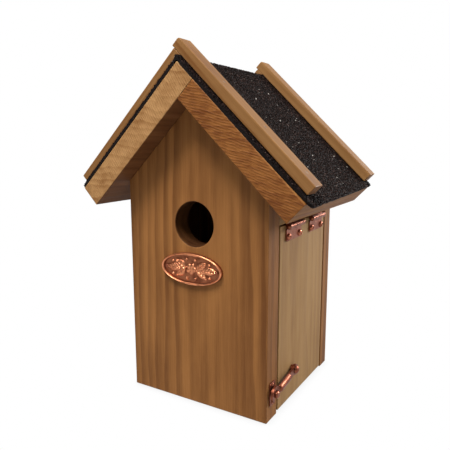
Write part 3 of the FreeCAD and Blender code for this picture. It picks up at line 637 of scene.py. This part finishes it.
class NESTBOX_OT_set_stage(bpy.types.Operator):
    """Pale floor, soft light, and a camera at three-quarter view"""

    bl_idname = "nestbox.set_stage"
    bl_label = "Set Stage"

    AIM = Vector((0, 0, 0.13))
    LAMPS = (
        ("key", Vector((0.65, 0.95, 0.5)), 0.3, 12.0),
        ("front", Vector((-0.05, -0.52, 1.15)), 0.4, 18.0),
        ("fill", Vector((0.15, -0.9, 0.04)), 0.5, 0.9),
    )
    FLOOR_RADIUS = 6.0
    FLOOR_GAP = 0.4 * MM
    CAMERA_PLACE = (0.1932, -0.3356, 0.1902)
    CAMERA_DOWN = 9.72
    CAMERA_ROLL = 0.13
    CAMERA_TURN = 31.12

    def execute(self, context):
        stage = context.scene.nest_box.stage
        self.make_floor(stage)
        self.make_light(context.scene)
        self.make_camera(context.scene, stage)
        return {"FINISHED"}

    def make_floor(self, stage):
        """A pale floor that the camera sees as bright as the backdrop, but for a contact shadow painted
        into its glow from an occlusion mask.
        """
        bm = bmesh.new()
        bmesh.ops.create_circle(bm, cap_ends=True, segments=96, radius=self.FLOOR_RADIUS)
        mesh = bpy.data.meshes.new("floor")
        bm.to_mesh(mesh)
        bm.free()
        material = bpy.data.materials.new("pale_floor")
        material.use_nodes = True
        tree = material.node_tree
        tree.nodes.clear()
        out = tree.nodes.new("ShaderNodeOutputMaterial")
        # Painted shadow: an occlusion mask dims the floor's glow next to the box.
        contact = add(tree, "ShaderNodeAmbientOcclusion", {"Distance": 0.01}, samples=8)
        bright = remap(tree, contact.outputs["AO"], 0.1, 0.9, 0.85, 1.0)
        seen = add(tree, "ShaderNodeEmission", {"Color": (1, 1, 1, 1), "Strength": bright})
        matt = add(tree, "ShaderNodeBsdfDiffuse", {"Color": tuple(stage.floor)})
        path = tree.nodes.new("ShaderNodeLightPath")
        mirrored = calc(tree, "MULTIPLY", path.outputs["Is Glossy Ray"], 0.6)
        white = calc(tree, "MAXIMUM", path.outputs["Is Camera Ray"], mirrored)
        shown = add(tree, "ShaderNodeMixShader", {0: white, 1: matt.outputs[0], 2: seen.outputs[0]})
        tree.links.new(shown.outputs[0], out.inputs["Surface"])
        mesh.materials.append(material)
        floor = bpy.data.objects.new("floor", mesh)
        floor.location.z = cad_box[0].z - self.FLOOR_GAP
        bpy.context.scene.collection.objects.link(floor)

    def make_light(self, scene):
        """A soft sky, a second one that only reflections show, a white backdrop and three lamps."""
        world = bpy.data.worlds.new("studio")
        scene.world = world
        world.use_nodes = True
        tree = world.node_tree
        tree.nodes.clear()
        out = tree.nodes.new("ShaderNodeOutputWorld")
        path = tree.nodes.new("ShaderNodeLightPath")
        direction = add(tree, "ShaderNodeTexCoord").outputs["Generated"]
        above = move(tree, "DOT_PRODUCT", direction, Vector((0.3, -0.05, 0.95)))
        sky = remap(tree, above, -0.1, 0.85, 0.02, 0.62)
        ambient = add(tree, "ShaderNodeBackground", {"Color": (0.99, 0.99, 1.0, 1.0), "Strength": sky})
        beside = move(tree, "DOT_PRODUCT", direction, Vector((0.5, 0.8, 0.33)))
        panel = remap(tree, beside, 0.0, 0.6, 0.04, 1.1)
        mirrored = add(tree, "ShaderNodeBackground", {"Color": (1.0, 0.99, 0.97, 1.0), "Strength": panel})
        lit = add(tree, "ShaderNodeMixShader",
                  {0: path.outputs["Is Glossy Ray"], 1: ambient.outputs[0], 2: mirrored.outputs[0]})
        seen = add(tree, "ShaderNodeBackground", {"Color": (1.0, 1.0, 1.0, 1.0), "Strength": 1.0})
        shown = add(tree, "ShaderNodeMixShader",
                    {0: path.outputs["Is Camera Ray"], 1: lit.outputs[0], 2: seen.outputs[0]})
        tree.links.new(shown.outputs[0], out.inputs["Surface"])
        for name, place, size, power in self.LAMPS:
            light = bpy.data.lights.new(name, "AREA")
            light.size = size
            light.energy = power
            lamp = bpy.data.objects.new(name, light)
            lamp.location = place
            lamp.rotation_euler = (self.AIM - place).to_track_quat("-Z", "Y").to_euler()
            scene.collection.objects.link(lamp)
        scene.view_settings.view_transform = "Standard"

    def make_camera(self, scene, stage):
        """A camera that looks a little down at the front and the door."""
        camera_data = bpy.data.cameras.new("camera")
        camera_data.lens = stage.lens
        camera_data.sensor_width = 36
        camera = bpy.data.objects.new("camera", camera_data)
        camera.location = self.CAMERA_PLACE
        camera.rotation_euler = [
            math.radians(angle) for angle in (90 - self.CAMERA_DOWN, self.CAMERA_ROLL, self.CAMERA_TURN)]
        scene.collection.objects.link(camera)
        scene.camera = camera


class NESTBOX_OT_finish_boards(bpy.types.Operator):
    """Stained pine on every board, each with its own grain"""

    bl_idname = "nestbox.finish_boards"
    bl_label = "Finish Boards"

    def execute(self, context):
        wood = context.scene.nest_box.wood
        for maker in (make_pine_group, make_arris_group, make_saw_group):
            maker()
        panel = tuple(wood.panel_light), tuple(wood.panel_dark)
        door = tuple(wood.door_light), tuple(wood.door_dark)
        roof = tuple(wood.roof_light), tuple(wood.roof_dark)
        batten = tuple(wood.batten_light), tuple(wood.batten_dark)
        left_under = slope_point(-1, 0, -1, 0) - slope_point(-1, 0, 0, 0)
        hole = next(m for m in frame["record"]["mounts"] if m["name"] == "entrance_hole")
        entrance = Vector(hole["pos_m"]), hole["dims"]["r_mm"] * MM
        finishes = {
            "front_panel": pine("front_pine", "up", (-24, 95, 0), *panel, ring=6.5, contrast=0.45,
                                streaks=0.36, painted_shade_hole=entrance),
            "back_panel": pine("back_pine", "up", (31, -120, 40), *panel, ring=7.5),
            "left_side_panel": pine("side_pine", "up", (120, 12, 90), *panel, ring=6.0),
            "floor_board": pine("floor_pine", "across", (60, 20, 10), *panel, ring=6.0),
            "door_rail": pine("rail_pine", "deep", (-90, 30, 10), *door, ring=6.0),
            "door_panel": pine("door_pine", "up", (-110, 5, 55), *door, ring=5.5,
                               contrast=0.35, streaks=0.3, sawn=0.1),
            # The left roof board's underside is tinted darker: painted shade.
            "roof_board_left": pine("roof_left_pine", "deep", (80, -210, 0), *door, ring=4.5,
                                    end_tint=(1.16, 1.08, 1.04, 1.0), saw_angle=0.5,
                                    painted_shade_side=(left_under, (0.55, 0.4, 0.36, 1.0))),
            "roof_board_right": pine("roof_right_pine", "deep", (-60, -150, 30), *roof, ring=4.5,
                                     end_tint=(0.9, 0.76, 0.62, 1.0), saw_angle=1.3,
                                     arris_wear_and_highlight=1.9),
        }
        for index, node in enumerate(("front_right", "rear_right", "front_left", "rear_left")):
            slope = "right slope" if "right" in node else "left slope"
            side = 1 if "right" in node else -1
            outer = slope_point(side, 0, 1, 0) - slope_point(side, 0, 0, 0)
            # The battens' outer faces are tinted a little darker: painted shade.
            finishes[f"batten_{node}"] = pine(
                f"batten_{node}_pine", slope, (40 + 17 * index, 30 - 23 * index, 50 * index),
                *batten, ring=5.0, contrast=0.45, arris_wear_and_highlight=1.6, painted_shade_side=(outer, (0.8, 0.79, 0.78, 1.0)))
        for node, material in finishes.items():
            paint_node(node, material)
        return {"FINISHED"}


class NESTBOX_OT_lay_felt(bpy.types.Operator):
    """A sheet of mineral felt over the ridge, with real granules"""

    bl_idname = "nestbox.lay_felt"
    bl_label = "Lay Felt"

    ROWS = 90
    COLUMNS = 70
    FOLD_STEPS = 6
    SEED = 11
    BEND = 3.4 * MM
    CREASE = 3.6 * MM
    CORNER = 4 * MM
    UNDER_GAP = 0.06 * MM
    UNEVEN = 0.7 * MM
    TRIM = 0.3 * MM
    OUT_OF_SQUARE = 3.4 * MM
    FRONT_ZONE = 12 * MM
    FRONT_SLIP = 2.2 * MM
    RAGGED = 0.35 * MM
    RIPPLE = 0.2 * MM
    DROOP = 0.5 * MM
    DROOP_ZONE = 5 * MM

    def execute(self, context):
        felt = context.scene.nest_box.felt
        sheet = self.sheet(felt)
        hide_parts("roof_felt")
        stone = granite("granules")
        tree = self.granule_tree()
        for side, word in ((1, "right"), (-1, "left")):
            mesh = run_nodes(f"granules_{word}", self.skin(side, felt), tree, {
                "Density": felt.granule_density,
                "Size": felt.granule_size,
                "Seed": self.SEED + side,
                "Stone": stone,
            })
            granules = finish_piece(f"felt_granules_{word}", mesh, stone, on_body("roof_felt"))
            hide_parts("roof_felt")
        return {"FINISHED"}

    def reach(self, side):
        """How far the untrimmed felt goes down a slope from the inner ridge."""
        across = felt_high.x if side > 0 else -felt_low.x
        return (across - (ROOF_THICK + FELT_THICK) * math.sin(ROOF_PITCH)) / math.cos(ROOF_PITCH)

    def edge(self, side, y):
        """How far the trimmed felt reaches down a slope at a place along the ridge."""
        back = (y - felt_low.y) / (felt_high.y - felt_low.y)
        uneven = self.UNEVEN * noise.noise(Vector((y * 90, side * 7.0, 0)))
        trimmed = self.TRIM + (self.OUT_OF_SQUARE * back if side > 0 else 0.0)
        corner = self.CORNER
        near = max(0.0, corner - (y - felt_low.y))
        rounding = corner - math.sqrt(corner ** 2 - near ** 2)
        return self.reach(side) - trimmed - abs(uneven) - rounding

    def section(self, y, lift):
        """Points of the sheet's section at one place along the ridge, from left to right."""
        halves = {}
        for side in (-1, 1):
            start = self.BEND - (ROOF_THICK + lift) * math.tan(ROOF_PITCH)
            low = self.edge(side, y)
            halves[side] = [
                self.on_sheet(side, start + (low - start) * index / self.COLUMNS, y, lift, low)
                for index in range(self.COLUMNS + 1)
            ]
        left, right = halves[-1][::-1], halves[1]
        first, last = left[-1], right[0]
        peak = Vector((0, y, first.z - first.x * math.tan(ROOF_PITCH) + self.CREASE))
        peak.y = (first.y + last.y) / 2
        fold = []
        for index in range(1, self.FOLD_STEPS):
            t = index / self.FOLD_STEPS
            fold.append((1 - t) ** 2 * first + 2 * t * (1 - t) * peak + t ** 2 * last)
        return left + fold + right

    def on_sheet(self, side, along, y, lift, low):
        """A point of the sheet, which ripples, droops at its eave and was cut out of square."""
        down = max(0.0, min(1.0, (along / low - 0.5) * 2))
        front = max(0.0, 1 - (y - felt_low.y) / self.FRONT_ZONE)
        shift = self.FRONT_SLIP * down ** 2 * front * (side > 0)
        ragged = self.RAGGED * front * noise.noise(Vector((along * 300, side * 3.0, 5.0)))
        ripple = self.RIPPLE * max(0.0, noise.noise(Vector((along * 45, y * 45, side))))
        droop = self.DROOP * max(0.0, 1 + (along - low) / self.DROOP_ZONE) ** 2
        height = ROOF_THICK + lift + (ripple - droop if lift > self.UNDER_GAP else 0.0)
        return slope_point(side, along, height, y + shift + abs(ragged))

    def sheet(self, felt):
        """The sheet itself, closed all round."""
        bm = bmesh.new()
        rows = []
        for index in range(self.ROWS + 1):
            y = felt_low.y + (felt_high.y - felt_low.y) * index / self.ROWS
            top = [bm.verts.new(p) for p in self.section(y, felt.sheet_thick)]
            under = [bm.verts.new(p) for p in self.section(y, self.UNDER_GAP)]
            rows.append((top, under))
        count = len(rows[0][0])
        for (top, under), (next_top, next_under) in zip(rows, rows[1:]):
            for i in range(count - 1):
                bm.faces.new((top[i], top[i + 1], next_top[i + 1], next_top[i]))
                bm.faces.new((under[i + 1], under[i], next_under[i], next_under[i + 1]))
            for i, order in ((0, 1), (count - 1, -1)):
                loop = (top[i], next_top[i], next_under[i], under[i])
                bm.faces.new(loop[::order])
        for (top, under), order in ((rows[0], 1), (rows[-1], -1)):
            for i in range(count - 1):
                loop = (top[i], under[i], under[i + 1], top[i + 1])
                bm.faces.new(loop[::order])
        bmesh.ops.recalc_face_normals(bm, faces=bm.faces)
        return new_piece("felt_sheet", bm, bitumen("bitumen", felt), on_body("roof_felt"),
                         math.radians(50))

    def skin(self, side, felt):
        """The top of one slope, which carries the granules."""
        bm = bmesh.new()
        rows = []
        for index in range(self.ROWS + 1):
            y = felt_low.y + (felt_high.y - felt_low.y) * index / self.ROWS
            points = self.section(y, felt.sheet_thick)
            half = len(points) // 2
            rows.append([bm.verts.new(p) for p in (points[half:] if side > 0 else points[:half + 1])])
        for row, after in zip(rows, rows[1:]):
            for i in range(len(row) - 1):
                bm.faces.new((row[i], row[i + 1], after[i + 1], after[i]))
        mesh = bpy.data.meshes.new("felt_skin")
        bm.to_mesh(mesh)
        bm.free()
        return mesh

    def granule_tree(self):
        """Nodes that scatter small stones on a surface, each with its own tone."""
        tree, start, end = geometry_tree("Felt Granules", [
            ("Density", "NodeSocketFloat"), ("Size", "NodeSocketFloat"), ("Seed", "NodeSocketInt"),
            ("Stone", "NodeSocketMaterial")])
        seed = start.outputs["Seed"]
        scatter = add(tree, "GeometryNodeDistributePointsOnFaces", {
            "Mesh": start.outputs["Geometry"], "Density": start.outputs["Density"], "Seed": seed})
        grain = add(tree, "GeometryNodeMeshCube", {"Size": (0.85, 0.85, 0.85)})
        turn = add(tree, "FunctionNodeRandomValue",
                   {"Min": (0, 0, 0), "Max": (math.tau,) * 3, "Seed": seed}, data_type="FLOAT_VECTOR")
        stretch = add(tree, "FunctionNodeRandomValue",
                      {"Min": (0.4, 0.4, 0.3), "Max": (1.0, 1.0, 0.75), "Seed": seed},
                      data_type="FLOAT_VECTOR")
        sized = add(tree, "ShaderNodeVectorMath",
                    {"Vector": stretch.outputs[0], "Scale": start.outputs["Size"]}, operation="SCALE")
        placed = add(tree, "GeometryNodeInstanceOnPoints", {
            "Points": scatter.outputs["Points"], "Instance": grain.outputs["Mesh"],
            "Rotation": turn.outputs[0], "Scale": sized.outputs["Vector"]})
        tone = add(tree, "FunctionNodeRandomValue", {"Min": 0.0, "Max": 1.0, "Seed": seed},
                   data_type="FLOAT")
        toned = add(tree, "GeometryNodeStoreNamedAttribute", {
            "Geometry": placed.outputs["Instances"], "Name": "tone",
            "Value": next(s for s in tone.outputs if s.enabled)}, data_type="FLOAT", domain="INSTANCE")
        solid = add(tree, "GeometryNodeRealizeInstances", {"Geometry": toned.outputs["Geometry"]})
        stone = add(tree, "GeometryNodeSetMaterial", {
            "Geometry": solid.outputs["Geometry"], "Material": start.outputs["Stone"]})
        tree.links.new(stone.outputs["Geometry"], end.inputs["Geometry"])
        return tree


class NESTBOX_OT_fit_plaque(bpy.types.Operator):
    """An oval copper plaque with a raised rim, and a flower between leaves and berries"""

    bl_idname = "nestbox.fit_plaque"
    bl_label = "Fit Plaque"

    # Relief lengths are in millimetres, and shares are parts of a height. A leaf is its root, its
    # lean, its length and its half width, and a berry is its place.
    RINGS = 90
    SPOKES = 300
    BACK_GAP = 0.02 * MM
    RIM = 1.9
    RIM_SHARE = 0.45
    FIELD_SHARE = 0.28
    FIELD_CROWN = 0.25 * MM
    RELIEF_SLOPE = 0.8
    TARNISH_SHARE = 0.4
    TARNISH_FADE = 1.1 * MM
    LEAVES = ((4.6, 0.62, 10.5, 3.0), (4.8, -0.62, 10.5, 3.0), (9.0, 0.0, 12.5, 3.1))
    VEIN_PITCH = 2.6
    VEIN_SHARE = 0.12
    MIDRIB_HALF = 0.3
    MIDRIB_SHARE = 0.35
    LEAF_SHARE = 0.85
    BERRIES = ((3.6, 6.8), (3.6, -6.8), (15.4, 4.7), (15.4, -4.7))
    BERRY = 1.1
    STEM = (4, 18)
    STEM_HALF = 0.6
    STEM_SHARE = 0.5
    STEM_SWAY = 0.9
    STEM_BEND = 0.32
    PETALS = 5
    PETAL_START = 0.4
    PETAL_LONG = 3.3
    PETAL_SWELL = 1.1
    PETAL_SHARE = 0.6
    PETAL_CROWN = 0.25
    EYE = 1.4

    def execute(self, context):
        hardware = context.scene.nest_box.hardware
        centre = (plaque_low + plaque_high) / 2
        half = (plaque_high - plaque_low) / 2
        depth = plaque_high.y - plaque_low.y

        def front(u, v):
            stand = self.height(u, v, half, depth, hardware.relief_height)
            return centre.x + half.x * u, plaque_high.y - stand, centre.z + half.z * v

        def behind(rim):
            return rim.x, plaque_high.y - self.BACK_GAP, rim.z

        radii = [ring / self.RINGS for ring in range(1, self.RINGS + 1)]
        bm = dome(radii, self.SPOKES, front, behind)
        low = plaque_high.y - self.TARNISH_SHARE * depth
        finish = copper("plaque_copper", hardware, 0.05, tuple(hardware.polished), low, self.TARNISH_FADE)
        plaque = new_piece("leaf_plaque", bm, finish, on_body("oval_plaque"),
                           math.radians(60))
        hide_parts("oval_plaque")
        return {"FINISHED"}

    def height(self, u, v, half, depth, relief_height):
        """How far the plaque stands forward at a place inside its oval."""
        out = math.hypot(u, v)
        x, z = u * half.x / MM, v * half.z / MM
        gap = (1 / out - 1) * math.hypot(x, z) if out > 1e-6 else half.z / MM
        field = self.FIELD_SHARE * depth + self.FIELD_CROWN * (1 - out ** 2)
        if gap < self.RIM:
            bead = math.sqrt(max(0.0, 1 - (2 * gap / self.RIM - 1) ** 2))
            rim = depth * (self.RIM_SHARE + (1 - self.RIM_SHARE) * bead)
            return max(rim, field if gap > self.RIM / 2 else 0.0)
        inside = min(1.0, (gap - self.RIM) / self.RELIEF_SLOPE)
        return min(depth, field + relief_height * inside * self.relief(x, z))

    def relief(self, x, z):
        """A flower between two stems of broad leaves, with berries."""
        best = self.flower(x, z)
        for side in (-1, 1):
            across = side * x
            stem = self.STEM_SWAY * math.sin(across * self.STEM_BEND)
            if self.STEM[0] < across < self.STEM[1]:
                best = max(best, self.STEM_SHARE * max(0.0, 1 - abs(z - stem) / self.STEM_HALF))
            for root, lean, length, wide in self.LEAVES:
                best = max(best, self.leaf(across - root, z, lean, length, wide))
            for berry_x, berry_z in self.BERRIES:
                berry = math.hypot(across - berry_x, z - berry_z)
                best = max(best, math.sqrt(max(0.0, 1 - (berry / self.BERRY) ** 2)))
        return best

    def flower(self, x, z):
        """Round petals about a raised eye."""
        out = math.hypot(x, z)
        petal = abs(math.cos(self.PETALS / 2 * math.atan2(z, x) + self.PETAL_START))
        reach = self.PETAL_LONG + self.PETAL_SWELL * petal
        body = math.sqrt(max(0.0, 1 - (out / reach) ** 4))
        eye = math.sqrt(max(0.0, 1 - (out / self.EYE) ** 2))
        return max(body * (self.PETAL_SHARE + self.PETAL_CROWN * petal), eye)

    def leaf(self, dx, dz, lean, length, widest):
        """A leaf from its root along its lean, with a midrib and side veins."""
        along = dx * math.cos(lean) + dz * math.sin(lean)
        across = abs(dz * math.cos(lean) - dx * math.sin(lean))
        if not 0 < along < length:
            return 0.0
        wide = widest * math.sin(math.pi * (along / length) ** 0.8)
        if across >= wide:
            return 0.0
        body = math.sqrt(1 - (across / wide) ** 2)
        midrib = self.MIDRIB_SHARE * max(0.0, 1 - across / self.MIDRIB_HALF)
        side_veins = self.VEIN_SHARE * math.sin((along - across) * self.VEIN_PITCH)
        return (self.LEAF_SHARE + side_veins - midrib) * body


class NESTBOX_OT_fit_screws(bpy.types.Operator):
    """Round-headed screws with a cross recess, in groups that follow their bodies"""

    bl_idname = "nestbox.fit_screws"
    bl_label = "Fit Screws"

    RINGS = 22
    SPOKES = 64
    SEED = 3
    FOOT_GAP = 0.05 * MM
    DOME_POWER = 2.3
    RECESS_HALF = 0.13
    RECESS_LONG = 0.55
    RECESS_SHARE = 0.32
    GROUPS = {
        "hinge_screws_door": (1, 0, 0),
        "hinge_screws_frame": (1, 0, 0),
        "catch_screws": (1, 0, 0),
        "plaque_pins": (0, -1, 0),
    }

    def execute(self, context):
        hardware = context.scene.nest_box.hardware
        finish = copper("screw_copper", hardware)
        tree = self.screw_tree()
        for node, facing in self.GROUPS.items():
            outward = Vector(facing)
            places, head, rise = self.heads_of(node, outward)
            base = bpy.data.meshes.new(f"{node}_places")
            base.from_pydata(places, [], [])
            pattern = self.head_pattern(f"{node}_pattern", head, rise)
            turn = outward.to_track_quat("Z", "Y").to_euler()
            mesh = run_nodes(node, base, tree, {
                "Pattern": pattern, "Turn": turn, "Seed": self.SEED, "Finish": finish})
            bpy.data.objects.remove(pattern)
            screws = finish_piece(f"{node}_heads", mesh, finish, on_body(node),
                                  math.radians(40))
            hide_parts(node)
        return {"FINISHED"}

    def heads_of(self, node, outward):
        """Middle of each screw head's foot, the heads' radius and their rise, read from the CAD."""
        mesh = frame["nodes"][node].data
        bm = bmesh.new()
        bm.from_mesh(mesh)
        bmesh.ops.remove_doubles(bm, verts=bm.verts, dist=1e-6)
        places, heads, rises = [], [], []
        for island in islands(bm):
            middle = sum((v.co for v in island), Vector()) / len(island)
            spread = [(v.co - middle) - (v.co - middle).dot(outward) * outward for v in island]
            wide = max(s.length for s in spread)
            top = max(v.co.dot(outward) for v in island)
            foot = min(v.co.dot(outward) for v, s in zip(island, spread) if s.length > 0.97 * wide)
            places.append(middle + (foot - middle.dot(outward)) * outward)
            heads.append(wide)
            rises.append(top - foot)
        bm.free()
        places.sort(key=lambda p: tuple(p))
        return places, min(heads), min(rises)

    def head_pattern(self, name, head, rise):
        """A domed head with a cross recess, its foot at the origin and facing +Z."""
        def front(u, v):
            return head * u, head * v, self.head_height(u, v, rise)

        def behind(rim):
            return rim.x, rim.y, -self.FOOT_GAP

        radii = [math.sin(math.pi / 2 * ring / self.RINGS) for ring in range(1, self.RINGS + 1)]
        bm = dome(radii, self.SPOKES, front, behind)
        mesh = bpy.data.meshes.new(name)
        bm.to_mesh(mesh)
        bm.free()
        pattern = bpy.data.objects.new(name, mesh)
        bpy.context.scene.collection.objects.link(pattern)
        return pattern

    def head_height(self, u, v, rise):
        """Height of the head at a place in its unit circle."""
        body = rise * math.sqrt(max(0.0, 1 - math.hypot(u, v) ** self.DOME_POWER))
        short, long = sorted((abs(u), abs(v)))
        arm = max(short / self.RECESS_HALF, long / self.RECESS_LONG)
        recess = self.RECESS_SHARE * rise * max(0.0, min(1.0, (1.25 - arm) / 0.5))
        return max(body - recess, 0.0)

    def screw_tree(self):
        """Nodes that set a head on each point, facing outward and turned by chance."""
        tree, start, end = geometry_tree("Screw Heads", [
            ("Pattern", "NodeSocketObject"), ("Turn", "NodeSocketRotation"),
            ("Seed", "NodeSocketInt"), ("Finish", "NodeSocketMaterial")])
        points = add(tree, "GeometryNodeMeshToPoints", {"Mesh": start.outputs["Geometry"]})
        pattern = add(tree, "GeometryNodeObjectInfo", {"Object": start.outputs["Pattern"]})
        twist = add(tree, "FunctionNodeRandomValue",
                    {"Min": 0.0, "Max": math.tau, "Seed": start.outputs["Seed"]}, data_type="FLOAT")
        spin = add(tree, "FunctionNodeAxisAngleToRotation", {
            "Axis": (0, 0, 1), "Angle": next(s for s in twist.outputs if s.enabled)})
        facing = add(tree, "FunctionNodeRotateRotation", {
            "Rotation": start.outputs["Turn"], "Rotate By": spin.outputs["Rotation"]},
            rotation_space="LOCAL")
        placed = add(tree, "GeometryNodeInstanceOnPoints", {
            "Points": points.outputs["Points"], "Instance": pattern.outputs["Geometry"],
            "Rotation": facing.outputs["Rotation"]})
        solid = add(tree, "GeometryNodeRealizeInstances", {"Geometry": placed.outputs["Instances"]})
        finish = add(tree, "GeometryNodeSetMaterial", {
            "Geometry": solid.outputs["Geometry"], "Material": start.outputs["Finish"]})
        tree.links.new(finish.outputs["Geometry"], end.inputs["Geometry"])
        return tree


class NESTBOX_OT_finish_hardware(bpy.types.Operator):
    """Copper on the hinges and latch, zinc on the hanger and nails, stain on the batten nails"""

    bl_idname = "nestbox.finish_hardware"
    bl_label = "Finish Hardware"

    def execute(self, context):
        hardware = context.scene.nest_box.hardware
        make_tarnish_group()
        finishes = {
            "copper": copper("hinge_copper", hardware, clean=tuple(hardware.hinges)),
            "steel": steel("nail_zinc", srgb(196, 197, 196), srgb(150, 152, 154)),
        }
        for part in frame["record"]["subparts"]:
            if part["material_slot"] in finishes:
                paint_node(part["node"], finishes[part["material_slot"]])
        handled = copper("latch_copper", hardware, clean=tuple(hardware.latch))
        for node in ("latch_arm", "latch_pivot_screw", "latch_stud", "latch_collar"):
            paint_node(node, handled)
        paint_node("batten_nails", steel("stained_nail", srgb(122, 92, 60), srgb(84, 60, 36)))
        return {"FINISHED"}


class NESTBOX_PT_tools(bpy.types.Panel):
    """Steps that finish the nest box, in order."""

    bl_idname = "NESTBOX_PT_tools"
    bl_label = "Nest Box"
    bl_space_type = "VIEW_3D"
    bl_region_type = "UI"
    bl_category = "Nest Box"

    def draw(self, context):
        column = self.layout.column(align=True)
        for step in STEPS:
            column.operator(step.bl_idname)


STEPS = (
    NESTBOX_OT_set_stage,
    NESTBOX_OT_finish_boards,
    NESTBOX_OT_finish_hardware,
    NESTBOX_OT_lay_felt,
    NESTBOX_OT_fit_plaque,
    NESTBOX_OT_fit_screws,
)
CLASSES = (
    NestBoxWood,
    NestBoxFelt,
    NestBoxHardware,
    NestBoxStage,
    NestBoxSettings,
    *STEPS,
    NESTBOX_PT_tools,
)


def register():
    for cls in CLASSES:
        bpy.utils.register_class(cls)
    bpy.types.Scene.nest_box = bpy.props.PointerProperty(type=NestBoxSettings)


def unregister():
    del bpy.types.Scene.nest_box
    for cls in reversed(CLASSES):
        bpy.utils.unregister_class(cls)


def main():
    register()
    bpy.ops.nestbox.set_stage()
    bpy.ops.nestbox.finish_boards()
    bpy.ops.nestbox.finish_hardware()
    bpy.ops.nestbox.lay_felt()
    bpy.ops.nestbox.fit_plaque()
    bpy.ops.nestbox.fit_screws()


if __name__ == "__main__":
    main()
